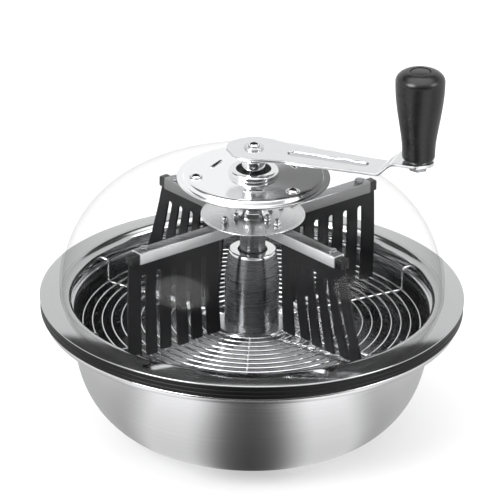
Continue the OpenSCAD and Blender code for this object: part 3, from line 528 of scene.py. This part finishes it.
# a round rod along points given in millimetres, made from a bevelled curve
def tubeAlong(points, thick):
    curve = bpy.data.curves.new("rod", "CURVE")
    curve.dimensions, curve.bevel_depth = "3D", thick / 2 * mm
    curve.bevel_resolution = grateShape["sides"] // 2
    curve.use_fill_caps = True
    spline = curve.splines.new("POLY")
    spline.points.add(len(points) - 1)
    for target, point in zip(spline.points, points):
        target.co = (*(Vector(point) * mm), 1)
    rod = bpy.data.objects.new("rod", curve)
    scene.collection.objects.link(rod)
    mesh = bpy.data.meshes.new_from_object(rod)
    bm = bmesh.new()
    bm.from_mesh(mesh)
    bpy.data.objects.remove(rod)
    bpy.data.meshes.remove(mesh)
    bmesh.ops.remove_doubles(bm, verts=bm.verts[:], dist=1e-7)
    bmesh.ops.recalc_face_normals(bm, faces=bm.faces[:])
    return bm


def makeSpokes():
    box = span("grate_spokes")
    thick, bend = grateShape["spokeD"], grateShape["bend"]
    low, high = box["low"] + thick / 2, box["high"] - thick / 2
    wallR = rim["r"] - ringShape["flat"] - ringShape["shoulder"]
    upright = wallR - grateShape["standOff"]
    route = [(grateShape["hubR"] - 0.5, low)]
    route += arc(upright - bend, low + bend, bend, -90, 0, 8)
    route += arc(upright + bend, high - bend, bend, 180, 90, 8)
    route += [(wallR + 0.3, high)]
    bm = bmesh.new()
    for k in range(grateShape["spokes"]):
        rod = tubeAlong([(x, 0, z) for x, z in route], thick)
        joined(bm, moved(rod, turn=grateShape["spokeTurn"] + 360 * k / grateShape["spokes"]))
    makePiece(bm, "grateSpokes", finishes["wire"], "grate_unit", ["grate_spokes"])


makeWires()
makeSpokes()

housingShape = {"topR": 22.5, "taperH": 25, "wellR": 14.2, "wall": 4, "ceiling": 149.2}


def makeHousing():
    r, low, high = housing["r"], housing["low"], housing["high"]
    cap = span("housing_cap")
    shoulder = cap["high"] - housingShape["taperH"]
    topR = housingShape["topR"]
    capFoot = topR + (r - topR) * (cap["high"] - high) / housingShape["taperH"]
    well, ceiling, wall = housingShape["wellR"], housingShape["ceiling"], housingShape["wall"]
    outline = [(well, ceiling), (r - wall, ceiling - wall), (r - wall, low), (r, low, 0.4)]
    outline += [(r, low + 4, 0.2), (r - 0.3, low + 4.3, 0.1), (r, low + 4.6, 0.2)]      # a fine turned line
    outline += [(r, shoulder - 3), (r - 0.15, shoulder), (capFoot, high, 0.3), (well, high)]
    makePiece(lathe(outline, 144), "gearHousing", finishes["hub"], "grate_unit", ["gear_housing"],
              25)
    ring = [(well, high), (capFoot, high, 0.3), (topR, cap["high"], 1.2),
            (well, cap["high"], 0.8)]
    makePiece(lathe(ring, 144), "housingCap", finishes["mirror"], "grate_unit", ["housing_cap"],
              25)


makeHousing()
print("grate and housing made")

domeShape = {"skirt": 10, "crownR": 74, "wall": 2.5, "holeR": 19.8, "steps": 40}


def makeDome():
    r, low, high = domeWall["r"], domeWall["low"], domeTop["high"]
    across, up = r - domeShape["crownR"], high - low - domeShape["skirt"]
    wall = domeShape["wall"]

    def knuckle(inset):      # the rounded shoulder, from the skirt up to the flat crown
        angles = [pi / 2 * k / domeShape["steps"] for k in range(domeShape["steps"] + 1)]
        return [(domeShape["crownR"] + (across - inset) * cos(a),
                 low + domeShape["skirt"] + (up - inset) * sin(a)) for a in angles]
    outline = [(r, low, 0.5)] + knuckle(0) + [(domeShape["holeR"], high), (domeShape["holeR"], high - wall)]
    outline += knuckle(wall)[::-1] + [(r - wall, low, 0.5)]
    makePiece(lathe(outline, 192), "clearDome", finishes["clear"], "lid", ["dome", "dome_crown"])


makeDome()

plateShape = {"brim": 5.5, "slope": 3, "thick": 1.2, "rim": 2, "bossR": 19.6, "slotR": 40.8, "slotLong": 18,
              "slotWide": 2.2, "slots": (30, 150, 270), "beadWide": 1.3, "beadHigh": 0.5,
              "screwR": 55.6, "screwTurns": (72, 192, 312)}


def makeTopPlate():
    r, low, high, t = plate["r"], plate["low"], plate["high"], plateShape["thick"]
    flatR = r - plateShape["brim"] - plateShape["slope"]
    brimTop = low + plateShape["rim"]
    outline = [(plateShape["bossR"], high - t), (flatR, high - t, 1), (flatR + 1.8, low + 0.2, 0.6),
               (r, low, 0.8), (r, brimTop, 0.9), (r - plateShape["brim"] + 0.6, brimTop - 0.5, 0.5),
               (flatR + 1.6, high - 0.5, 1.0), (flatR - 2, high, 1.5), (plateShape["bossR"], high)]
    bm = lathe(outline, 192)
    wide, half, bead = plateShape["slotWide"] / 2, plateShape["slotLong"] / 2, plateShape["beadWide"]

    def pills(grow, foot, tall, rounding):      # long rounded blocks over the slots
        blocks = bmesh.new()
        for turn in plateShape["slots"]:
            ends = arc(0, half - wide, wide + grow, 0, 180, 10)
            ends += arc(0, wide - half, wide + grow, 180, 360, 10)
            block = prism(ends, (0, 0, tall), lambda x, y: (x, y, foot * mm), rounding)
            joined(blocks, moved(block, (plateShape["slotR"], 0, 0), turn))
        return blocks
    body = cut(bm, pills(0, high - 4, 8, 0))
    beads = cut(pills(bead, high - 0.5, 0.5 + plateShape["beadHigh"], 0.35), pills(0, high - 4, 8, 0))
    for face in beads.faces:
        face.material_index = 1
    makePiece(joined(body, beads), "topPlate", (finishes["spunPlatePaintedSheen"], finishes["mirror"]), "lid",
              ["top_plate"], 28)


collarShape = {"bore": 16.8, "bushBore": 11.4, "step": 1.6, "sunk": 3}


def makeCollar():
    box, bush = span("collar"), span("collar_bush")
    outline = [(collarShape["bore"], box["low"]), (plateShape["bossR"], box["low"], 0.6),
               (plateShape["bossR"], plate["high"]), (box["r"], plate["high"], 0.3),
               (box["r"], box["high"] - collarShape["step"], 0.5),
               (box["r"] - 1.2, box["high"], 0.8), (collarShape["bore"], box["high"], 0.3)]
    makePiece(lathe(outline), "plateCollar", finishes["mirror"], "lid", ["collar"], 28)
    low, high = bush["low"], bush["high"] - collarShape["sunk"]
    outline = [(collarShape["bushBore"], low), (bush["r"] - 0.05, low),
               (bush["r"] - 0.05, high, 0.3), (collarShape["bushBore"], high, 0.6)]
    makePiece(lathe(outline), "collarBush", finishes["seal"], "lid", ["collar_bush"], 28)


makeTopPlate()
makeCollar()
print("lid made")

armShape = {"hubR": 26, "midWide": 38.5, "bendWide": 33, "knobR": 15, "bendFrom": 126, "bendRun": 17,
            "rise": 12, "thick": 3, "grooveFrom": 34, "grooveTo": 114, "grooveWide": 10.5, "grooveDeep": 1.4,
            "grooveWallShade": 0.7, "neck": 42, "waist": 50, "rows": (280, 100), "edge": 0.6}


def smooth(x):
    x = min(max(x, 0), 1)
    return x * x * (3 - 2 * x)


# half the arm's width at a distance from the shaft
def armHalfWidth(x):
    hub, knob, mid, bend, neck = (armShape[k] for k in ("hubR", "knobR", "midWide", "bendWide", "neck"))
    if x > crankReach:
        return sqrt(max(knob ** 2 - (x - crankReach) ** 2, 0))
    if x < 0:
        return sqrt(max(hub ** 2 - x ** 2, 0))
    bendFrom, blend = armShape["bendFrom"], armShape["bendRun"] + 4
    sides = mid / 2 + (bend - mid) / 2 * smooth((x - armShape["waist"]) / (bendFrom - armShape["waist"]))
    sides += (knob - bend / 2) * smooth((x - bendFrom) / blend)
    return hub - (hub - sides) * smooth(x / neck) if x < neck else sides


def makeArm():
    box = span("crank_arm")
    wide, deep, thick = (armShape[k] for k in ("grooveWide", "grooveDeep", "thick"))
    sheetTop = box["low"] + deep + thick
    start, end = armShape["grooveFrom"] + wide / 2, armShape["grooveTo"] - wide / 2
    tip, back = crankReach + armShape["knobR"], -armShape["hubR"]

    def fromGroove(x, y):
        return hypot(x - min(max(x, start), end), y)
    bm = bmesh.new()
    bmesh.ops.create_grid(bm, x_segments=armShape["rows"][0], y_segments=armShape["rows"][1], size=0.5)
    for vert in bm.verts:
        u, v = vert.co.x + 0.5, vert.co.y * 2
        u = 0.5 - cos(u * pi) / 2 if u < 0.06 or u > 0.94 else u   # closer rows at the round ends
        x = back + (tip - back) * u
        y = v * armHalfWidth(x)
        ramp = smooth((x - armShape["bendFrom"]) / armShape["bendRun"])
        groove = smooth((wide / 2 - fromGroove(x, y)) / armShape["grooveWallShade"]) * deep
        vert.co = Vector((x, y, sheetTop + armShape["rise"] * ramp - groove)) * mm
    bmesh.ops.remove_doubles(bm, verts=bm.verts[:], dist=2e-6)
    bmesh.ops.recalc_face_normals(bm, faces=bm.faces[:])
    if sum(face.normal.z for face in bm.faces) < 0:
        bmesh.ops.reverse_faces(bm, faces=bm.faces[:])
    thicken(bm, (0, 0, -thick))
    bmesh.ops.recalc_face_normals(bm, faces=bm.faces[:])
    rims = [e for e in sharpEdges(bm, 1.0) if min(abs(face.normal.z) for face in e.link_faces) < 0.25]
    roundEdges(bm, armShape["edge"], rims)
    for face in bm.faces:      # painted shade: the pressed groove is painted darker than the sheet, and its walls darker still
        at = face.calc_center_median() / mm
        if fromGroove(at.x, at.y) < wide / 2 and face.normal.z > 0:
            face.material_index = 1 if at.z < sheetTop - deep + 0.15 else 2
    steelsAndShade = tuple(finishes[name] for name in ("crank", "grooveFloorShade", "grooveWallShade"))
    makePiece(moved(bm, turn=crankTurn), "crankArm", steelsAndShade, "crank", ["crank_arm"], 40)


shaftShape = {"r": 11.2, "columnR": 14, "footR": 15.5, "studR": 6, "washerBore": 3}


def makeShaft():
    box, column = span("crank_shaft"), span("shaft_column")
    r, top, studR = shaftShape["r"], box["high"], shaftShape["studR"]
    outline = [(0, disc["high"]), (r, disc["high"], 0.3), (r, top - 9, 0.2), (r - 0.5, top - 8.4),
               (r - 0.5, top - 7.6), (r, top - 7, 0.2), (r, top - 0.05, 0.5), (0, top - 0.05)]
    bm = lathe(outline, 96, closed=False)
    stud = [(0, box["low"]), (studR, box["low"], 0.5), (studR, disc["high"] + 0.1), (0, disc["high"] + 0.1)]
    lathe(stud, 48, closed=False, bm=bm)
    makePiece(bm, "crankShaft", finishes["mirror"], "crank", ["crank_shaft"], 28)
    foot, top, wide = column["low"], column["high"], shaftShape["columnR"]
    outline = [(r, foot), (shaftShape["footR"], foot, 0.3), (shaftShape["footR"], foot + 1, 0.4),
               (wide, foot + 5, 1.2), (wide, top, 0.5), (r, top)]
    makePiece(lathe(outline, 96), "shaftColumn", finishes["mirror"], "crank", ["shaft_column"],
              28)
    washer, bore = span("crank_washer"), shaftShape["washerBore"]
    outline = [(bore, washer["low"]), (washer["r"], washer["low"], 0.2), (washer["r"], washer["high"], 0.5),
               (bore, washer["high"])]
    makePiece(lathe(outline, 64), "crankWasher", finishes["fastener"], "crank", ["crank_washer"])


screwShape = {"brim": 0.8, "squeeze": 0.55, "shankR": 2.5, "headR": 5.4, "reach": 4.6, "recess": 2.0,
              "crankReach": 5.0, "crankRecess": 2.2, "crankShankR": 3, "nutFlats": 8}


# a domed screw head with a cross recess painted black as painted shade, a black ring of painted shadow round
# its foot, and a bright washer
def crossHead(low, high, r, reach, depth, spin=0):
    brim = low + screwShape["brim"]
    outline = [(0, low), (r, low, 0.15)]
    outline += [(r * x, brim + (high - brim) * z) for x, z in arc(0, 0, 1, 0, 90, 8)]
    head = lathe(outline[:-1] + [(0, high)], 48, closed=False)
    for turn in (spin, spin + 90):
        arm = prism([(-reach, -reach / 3), (reach, -reach / 3), (reach, reach / 3), (-reach, reach / 3)],
                    (0, 0, depth + 2), lambda x, y: (x, y, (high - depth) * mm), 0)
        for vert in arm.verts:
            if vert.co.z < (high - depth / 2) * mm:
                vert.co.x *= screwShape["squeeze"]      # the recess narrows towards its floor
        head = cut(head, moved(arm, turn=turn))
    for face in head.faces:      # painted shade: faces under the dome's surface, in the recess, get the black finish
        centre = face.calc_center_median() / mm
        away = min(hypot(centre.x, centre.y) / r, 1)
        skin = brim + (high - brim) * sqrt(1 - away ** 2)
        face.material_index = int(away < 0.95 and centre.z < skin - 0.12 and face.normal.z > -0.5)
    # a black ring round the head's foot, painted shadow
    shadow = lathe([(r - 0.2, low), (r + 0.5, low), (r + 0.5, low + 0.75), (r - 0.2, low + 0.75)], 48)
    for face in shadow.faces:
        face.material_index = 1
    washer = [(r + 0.4, low), (r + 1.5, low), (r + 1.5, low + 0.5, 0.25), (r + 0.4, low + 0.65)]
    return joined(joined(head, shadow), lathe(washer, 48))


def makeScrews():
    steelsAndShade = (finishes["wire"], finishes["plastic"])
    box, seat, r = span("crank_screw"), span("crank_washer")["high"], screwShape["crankShankR"]
    bm = crossHead(seat, box["high"], box["r"] - 1.3, screwShape["crankReach"], screwShape["crankRecess"])
    lathe([(0, box["low"]), (r, box["low"]), (r, seat + 0.1), (0, seat + 0.1)], 32, closed=False, bm=bm)
    makePiece(bm, "crankScrew", steelsAndShade, "crank", ["crank_screw"])
    box, nut, r = span("top_screws"), span("top_nuts"), screwShape["shankR"]
    seat, screws, nuts = plate["high"], bmesh.new(), bmesh.new()
    for turn in plateShape["screwTurns"]:
        screw = crossHead(seat, box["high"], screwShape["headR"], screwShape["reach"], screwShape["recess"],
                          -turn)
        shank = [(0, box["low"]), (r, box["low"], 0.4), (r, seat + 0.1), (0, seat + 0.1)]
        lathe(shank, 24, closed=False, bm=screw)
        joined(screws, moved(screw, (plateShape["screwR"], 0, 0), turn))
        block = hexBlock(screwShape["nutFlats"], nut["low"], nut["high"])
        joined(nuts, moved(block, (plateShape["screwR"], 0, 0), turn))
    makePiece(screws, "plateScrews", steelsAndShade, "lid", ["top_screws"])
    makePiece(nuts, "plateNuts", finishes["fastener"], "lid", ["top_nuts"])


makeArm()
makeShaft()
makeScrews()
print("crank made")

armTurns = (38.5, 132.5, 218.5, 312.5)
armReach = (139, 120, 139, 120)
channelShape = {"wide": 13, "sheet": 1.5, "inner": 14.2, "nutR": (20.5, 34), "nutFlats": 7, "tipIn": 9,
                "tipFlats": 8, "barFrom": 43, "barOver": 9, "grip": 5.5}
# painted light and shade: greys of the channels' tops and sides, with dark tops and bright sides on the front
# two and duller greys on the rear two
channelPaintedGrey = {"rear": (0.38, 0.34), "front": (0.26, 0.93)}


def makeDisc():
    r, low, high, bore = disc["r"], disc["low"], disc["high"], shaftShape["studR"]
    outline = [(bore, low), (r - 1, low, 0.4), (r, (low + high) / 2 + 0.1, 0.5), (r - 0.7, high, 0.5),
               (r - 2.2, high - 0.35, 0.3), (bore, high - 0.02)]
    makePiece(lathe(outline, 144), "flapDisc", finishes["spunDiscPaintedSheen"], "crank", ["flap_disc"],
              28)


def makeChannel(k):
    node = f"flap_arm_{k + 1}"
    low, high = span(node)["low"], span(node)["high"]
    half, t, inner = channelShape["wide"] / 2, channelShape["sheet"], channelShape["inner"]
    outline = [(-half, low), (-half, high, 1.0), (half, high, 1.0), (half, low), (half - t, low),
               (half - t, high - t, 0.4), (-half + t, high - t, 0.4), (-half + t, low)]
    bm = prism(outline, (armReach[k] - inner, 0, 0), lambda y, z: (inner * mm, y, z), 0.25)
    topPaintedGrey, sidePaintedGrey = channelPaintedGrey["front" if k > 1 else "rear"]
    top = metal(f"channelTop{k + 1}", [topPaintedGrey * c for c in (1, 1.01, 1.03)], 0.30, 0.07, 1300.0, 0.03,
                turn=-armTurns[k], depth=0.3)
    side = metal(f"channelSide{k + 1}", [sidePaintedGrey * c for c in (1, 1.005, 1.01)], 0.55, 0.07, 1300.0, 0.03,
                 turn=-armTurns[k], depth=0.3)
    piece = makePiece(moved(bm, turn=armTurns[k]), f"channelArm{k + 1}", (top, side), "crank", [node],
                      28)
    # each face gets its painted grey by which way it points
    for face in piece.data.polygons:
        face.material_index = int(abs(face.normal.z) < 0.5)


# black bars in the channels, each with a nose past its channel's end
def makeBars():
    box, start = span("flap_bars"), channelShape["barFrom"]
    half = channelShape["wide"] / 2 - channelShape["sheet"] - 0.05
    low, high, slot = box["low"], box["high"] - 0.05, flapShape["thick"] / 2 + 0.1
    grip = low + channelShape["grip"]
    outline = [(-half, low, 0.6), (-half, high, 1.2), (half, high, 1.2), (half, low, 0.6), (slot, low),
               (slot, grip), (-slot, grip), (-slot, low)]
    bars = bmesh.new()
    for reach, turn in zip(armReach, armTurns):
        long = reach + channelShape["barOver"] - start
        bar = prism(outline, (long, 0, 0), lambda y, z: (start * mm, y, z), 0.5)
        joined(bars, moved(bar, turn=turn))
    makePiece(bars, "flapBars", finishes["plastic"], "crank", ["flap_bars"], 28)


flapShape = {"from": 42, "reach": 152, "slits": 5, "slitWide": 6, "solid": 14, "thick": 2.2, "lean": 7.0,
             "rows": 26, "edge": 0.45}


# a rubber sheet with slits; the fingers lean back a little towards their tips
def makeFlap(k):
    node = f"flap_{k + 1}"
    foot, top = span(node)["low"], span(node)["high"]
    bandLow, barFrom = top - channelShape["grip"], channelShape["barFrom"]
    tip, start, foremost = armReach[k] + channelShape["barOver"], flapShape["from"], flapShape["reach"]
    slitTop, wide = bandLow - flapShape["solid"], flapShape["slitWide"] / 2
    fingers = flapShape["slits"] + 1

    def across(share, z):
        v = (z - foot) / (bandLow - foot)
        return start + share * (foremost + (tip - foremost) * v - start)
    outline = [(start, foot, 1.5)]
    for slit in range(1, fingers):
        low, head = across(slit / fingers, foot), across(slit / fingers, slitTop - wide)
        outline += [(low - wide, foot, 1.2)]
        outline += arc(head, slitTop - wide, wide, 180, 0, 8)
        outline += [(low + wide, foot, 1.2)]
    outline += [(foremost, foot, 1.5), (tip, bandLow), (tip, top), (barFrom, top), (barFrom, bandLow),
                (start, bandLow, 2.0)]
    bm = bmesh.new()
    verts, corners = outlineVerts(bm, outline, lambda x, z: (x, 0, z))
    bm.faces.new(verts)
    roundCorners(bm, corners)
    for row in range(1, flapShape["rows"]):
        level = foot + (bandLow - foot) * row / flapShape["rows"]
        bmesh.ops.bisect_plane(bm, geom=bm.verts[:] + bm.edges[:] + bm.faces[:], dist=1e-7,
                               plane_co=(0, 0, level * mm), plane_no=(0, 0, 1))
    thicken(bm, (0, flapShape["thick"], 0))
    bmesh.ops.translate(bm, verts=bm.verts[:], vec=(0, -flapShape["thick"] / 2 * mm, 0))
    bmesh.ops.recalc_face_normals(bm, faces=bm.faces[:])
    roundEdges(bm, flapShape["edge"], sharpEdges(bm, 1.2))
    for vert in bm.verts:
        x, z = vert.co.x / mm, vert.co.z / mm
        drop = min(max((slitTop - z) / (slitTop - foot), 0), 1)
        finger = int((x - start) / ((foremost - start) / fingers))
        share = 0.75 + 0.25 * sin(finger * 2.4 + k * 1.7)      # no two fingers lean alike
        vert.co.y += flapShape["lean"] * share * drop ** 1.8 * mm
    makePiece(moved(bm, turn=armTurns[k]), f"rubberFlap{k + 1}", finishes["flap"], "crank", [node],
              40)


def makeArmFasteners():
    nuts, bolts, tips = span("arm_nuts"), span("arm_bolts"), span("tip_bolts")
    low, seat, under = nuts["low"], nuts["low"] + 3.2, bolts["low"]
    dome = [(3.2, low + 2.6)] + [(3.1 * x, seat + 3.1 * z) for x, z in arc(0, 0, 1, 0, 90, 6)]
    headLine = [(0, under), (3.4, under, 0.5), (3.4, under + 2.5), (0, under + 2.5)]
    domed, heads, hexes = bmesh.new(), bmesh.new(), bmesh.new()
    for reach, turn in zip(armReach, armTurns):
        for r in channelShape["nutR"]:
            nut = hexBlock(channelShape["nutFlats"], low, seat, 0.35)
            lathe(dome[:-1] + [(0, nuts["high"])], 24, closed=False, bm=nut)
            joined(domed, moved(nut, (r, 0, 0), turn))
            joined(heads, moved(lathe(headLine, 24, closed=False), (r, 0, 0), turn))
        bolt = hexBlock(channelShape["tipFlats"], disc["low"], tips["high"], 0.5)
        joined(hexes, moved(bolt, (reach - channelShape["tipIn"], 0, 0), turn))
    makePiece(domed, "armNuts", finishes["fastener"], "crank", ["arm_nuts"])
    makePiece(heads, "armBolts", finishes["fastener"], "crank", ["arm_bolts"])
    makePiece(hexes, "tipBolts", finishes["darkNut"], "crank", ["tip_bolts"])


sleeveShape = {"hexFlats": 12.2, "socket": 32}


def makeSleeve():
    box = span("drive_sleeve")
    r, low, high = box["r"], box["low"], box["high"]
    outline = [(0, low), (r, low, 1.0), (r, low + 12, 0.3), (r - 0.5, low + 12.6), (r - 0.5, low + 14),
               (r, low + 14.6, 0.3), (r, high, 0.4), (0, high)]
    bm = cut(lathe(outline, 96, closed=False),
             hexBlock(sleeveShape["hexFlats"], low - 4, low + sleeveShape["socket"], 0.1))
    makePiece(bm, "driveSleeve", finishes["hub"], "crank", ["drive_sleeve"], 28)


makeDisc()
for index in range(len(armTurns)):
    makeChannel(index)
    makeFlap(index)
makeBars()
makeArmFasteners()
makeSleeve()
print("flaps made")

knobShape = {"footR": 15.5, "topR": 23.5, "bore": 4.05, "capR": 9.5, "seam": 0.35, "capDeep": 11,
             "roundShare": 0.42, "topShare": 0.88, "footShare": 0.12, "steps": 24, "topSteps": 13,
             "nutFlats": 16, "nutTurn": 12, "boltR": 4, "boltHeadR": 8, "boltHeadH": 4.6}


def makeKnob():
    box, cap, axis = span("knob_grip"), span("knob_cap"), (knobAxis.x, knobAxis.y, 0)
    low, high = box["low"], box["high"]
    topR, footR, bore, capR = (knobShape[k] for k in ("topR", "footR", "bore", "capR"))
    crown, well = topR * knobShape["roundShare"], capR + knobShape["seam"]
    floor = high - knobShape["capDeep"]
    tall, steps, topSteps = high - low, knobShape["steps"], knobShape["topSteps"]
    rise = tall * knobShape["topShare"] - crown
    outline = [(bore, low), (footR - 0.4, low, 1.2), (footR + 0.1, low + 2.5, 0.6)]
    for u in [k / steps for k in range(steps + 1)]:      # the grip swells towards its top
        outline.append((footR + 0.3 + (topR - footR - 0.3) * sin(pi / 2 * u) ** 1.4,
                        low + tall * knobShape["footShare"] + rise * u))
    for a in [pi / 2 * k / topSteps for k in range(1, topSteps)]:
        outline.append((capR + (topR - capR) * cos(a), high - crown * (1 - sin(a))))
    outline += [(well, high), (well, floor), (bore, floor)]
    makePiece(moved(lathe(outline, 112), axis), "knobGrip", finishes["knob"], "knob", ["knob_grip"],
              28)
    top = [(0, cap["low"]), (cap["r"] - 0.1, cap["low"]), (cap["r"] - 0.1, cap["high"] - 0.3, 0.8),
           (0, cap["high"])]
    makePiece(moved(lathe(top, 64, closed=False), axis), "knobCap", finishes["knob"], "knob", ["knob_cap"],
              28)
    nut, washer, bolt = span("knob_nut"), span("knob_washer"), span("knob_bolt")
    r, headR, neck = knobShape["boltR"], knobShape["boltHeadR"], bolt["high"] - knobShape["boltHeadH"]
    block = hexBlock(knobShape["nutFlats"], nut["low"], nut["high"], 0.8)
    block = moved(moved(block, turn=crankTurn + knobShape["nutTurn"]), axis)
    makePiece(block, "knobNut", finishes["darkNut"], "crank", ["knob_nut"])
    flat = [(r, washer["low"]), (washer["r"], washer["low"], 0.3), (washer["r"], washer["high"], 0.6),
            (r, washer["high"])]
    makePiece(moved(lathe(flat, 64), axis), "knobWasher", finishes["fastener"], "crank", ["knob_washer"])
    stem = [(0, bolt["low"]), (r, bolt["low"], 0.8), (r, neck), (headR, neck, 0.4),
            (headR, bolt["high"], 0.6), (0, bolt["high"])]
    makePiece(moved(lathe(stem, 48, closed=False), axis), "knobBolt", finishes["fastener"], "crank",
              ["knob_bolt"])


makeKnob()

# nodes that keep their own mesh
keptFinish = {
    "machined": ("mount_disc", "housing_plug", "ring_gear", "planet_carrier", "planet_pins", "planet_gear_1",
                 "planet_gear_2", "planet_gear_3", "sun_shaft", "blade_collar", "blade_spacer"),
    "bronze": ("input_bearing", "output_bearing"), "fastener": ("base_screws", "blade_nut"),
    "blade": ("upper_blade", "lower_blade"), "seal": ("plate_seal",), "ring": ("clamp_plate",),
}
for finishName, nodeNames in keptFinish.items():
    for nodeName in nodeNames:
        mesh = frame["nodes"][nodeName].data
        mesh.materials.clear()
        mesh.materials.append(finishes[finishName])
print("knob and inner pieces finished")

stageLook = {"floorHalf": 4.0, "floorGrey": 0.44, "floorGlow": 0.50, "low": 0.95, "overhead": 2.8,
             "front": 0.08, "back": 0.08}


def makeFloor():
    bm = bmesh.new()
    bmesh.ops.create_grid(bm, x_segments=2, y_segments=2, size=stageLook["floorHalf"])
    floor = asObject(bm, "floor")
    shade = Shade("paleFloor", [stageLook["floorGrey"]] * 3, 0.0, 0.8)
    shade.set("Specular IOR Level", 0.1)
    shade.set("Emission Color", (1, 1, 1, 1))
    shade.set("Emission Strength", stageLook["floorGlow"])
    floor.data.materials.append(shade.material)


# stops: brightness round the card by the angle from the front, in degrees
# near and far: a distance from the middle, in metres, and the strength there
cardLook = {"outer": 1.6, "lift": 0.0012, "near": (0.12, 0.74), "far": (0.40, 1.30),
            "stops": ((0, 0.09), (7, 0.12), (13, 0.23), (19, 0.56), (26, 0.96), (36, 1.14), (47, 1.07),
                      (56, 0.72), (66, 0.50), (85, 0.68), (180, 0.50))}


# a card on the floor that only shows in reflections, dark at the front and bright on both sides
def makeCard():
    bm = bmesh.new()
    bmesh.ops.create_circle(bm, segments=96, radius=cardLook["outer"],
                            matrix=Matrix.Translation((0, 0, cardLook["lift"])))
    bm.faces.new(bm.verts)
    card = asObject(bm, "floorCard")
    material = bpy.data.materials.new("cardShade")
    nodes = Nodes(material, empty=True)
    place = nodes.add("TexCoord").outputs["Object"]
    x, y, z = nodes.split(place)
    angle = nodes.maths("ARCTAN2", nodes.maths("ABSOLUTE", x), nodes.maths("MULTIPLY", y, -1.0))
    ramp = nodes.add("ValToRGB")
    ramp.color_ramp.interpolation = "B_SPLINE"
    while len(ramp.color_ramp.elements) < len(cardLook["stops"]):
        ramp.color_ramp.elements.new(0.5)
    for element, (turn, level) in zip(ramp.color_ramp.elements, cardLook["stops"]):
        element.position, element.color = turn / 180, (level, level, level, 1)
    nodes.link(nodes.maths("DIVIDE", angle, pi), ramp.inputs["Fac"])
    length = nodes.add("VectorMath", operation="LENGTH")
    nodes.link(place, length.inputs[0])
    (nearR, nearGlow), (farR, farGlow) = cardLook["near"], cardLook["far"]
    glow, out = nodes.add("Emission"), nodes.add("OutputMaterial")
    nodes.link(nodes.spread(length.outputs["Value"], nearGlow, farGlow, nearR, farR), glow.inputs["Strength"])
    nodes.link(ramp.outputs["Color"], glow.inputs["Color"])
    nodes.link(glow.outputs[0], out.inputs["Surface"])
    card.data.materials.append(material)
    card.visible_camera = card.visible_diffuse = card.visible_shadow = False
    card.visible_transmission = False


# soft lights in the sky: direction, width in degrees, soft edge in degrees, brightness
skyLights = (
    ((-0.62, -0.50, 0.60), 13, 5, 11.0),
    ((0.80, -0.25, 0.55), 9, 4, 7.0),
)


def makeSky():
    scene.world = bpy.data.worlds.new("studio")
    sky = Nodes(scene.world, empty=True)
    towards = sky.add("TexCoord").outputs["Generated"]
    x, y, z = sky.split(towards)

    def band(source, low, high, start=0.0, end=1.0):
        return sky.spread(source, start, end, low, high, soft=True)
    level = band(z, 0.74, 0.90, stageLook["low"], stageLook["overhead"])
    front = sky.maths("MULTIPLY", band(y, -0.40, -0.85), band(z, 0.75, 0.35))      # darker low in front
    strip = sky.maths("MULTIPLY", band(z, 0.55, 0.59), band(z, 0.81, 0.76))
    strip = sky.maths("MULTIPLY", strip, band(y, 0.1, 0.3))      # dark strip behind
    for part, dark in ((front, stageLook["front"]), (strip, stageLook["back"])):
        level = sky.maths("MULTIPLY", level, band(part, 0.0, 1.0, 1.0, dark))
    for direction, width, soft, bright in skyLights:
        dot = sky.add("VectorMath", operation="DOT_PRODUCT")
        dot.inputs[1].default_value = Vector(direction).normalized()
        sky.link(towards, dot.inputs[0])
        edge = band(dot.outputs["Value"], cos(radians(width + soft)), cos(radians(width)), 0.0, bright)
        level = sky.maths("ADD", level, edge)
    back, out = sky.add("Background"), sky.add("OutputWorld")
    sky.link(level, back.inputs["Color"])
    sky.link(back.outputs[0], out.inputs["Surface"])


viewShape = {"elevation": 24.76, "roll": 0.75, "distance": 6.0, "across": 0.47806, "rise": 0.0418,
             "side": 0.0024, "sensor": 36.0}


def makeCamera():
    tilt = radians(viewShape["elevation"])
    back = Vector((0, -cos(tilt), sin(tilt)))
    up, right = Vector((0, sin(tilt), cos(tilt))), Vector((1, 0, 0))
    aim = Vector((0, 0, (rim["high"] - ringShape["rise"]) * mm))
    aim += up * viewShape["rise"] - right * viewShape["side"]
    data = bpy.data.cameras.new("camera")
    data.sensor_width = viewShape["sensor"]
    data.lens = viewShape["sensor"] * viewShape["distance"] / viewShape["across"]
    data.clip_end = 100
    camera = bpy.data.objects.new("camera", data)
    camera.location = aim + back * viewShape["distance"]
    camera.rotation_mode = "QUATERNION"
    roll = Matrix.Rotation(radians(viewShape["roll"]), 3, "Z").to_quaternion()
    camera.rotation_quaternion = (-back).to_track_quat("-Z", "Y") @ roll
    scene.collection.objects.link(camera)
    scene.camera = camera


makeFloor()
makeCard()
makeSky()
makeCamera()
scene.view_settings.view_transform = "Standard"
scene.cycles.transparent_max_bounces = 24
scene.cycles.max_bounces = 14
print("stage made")
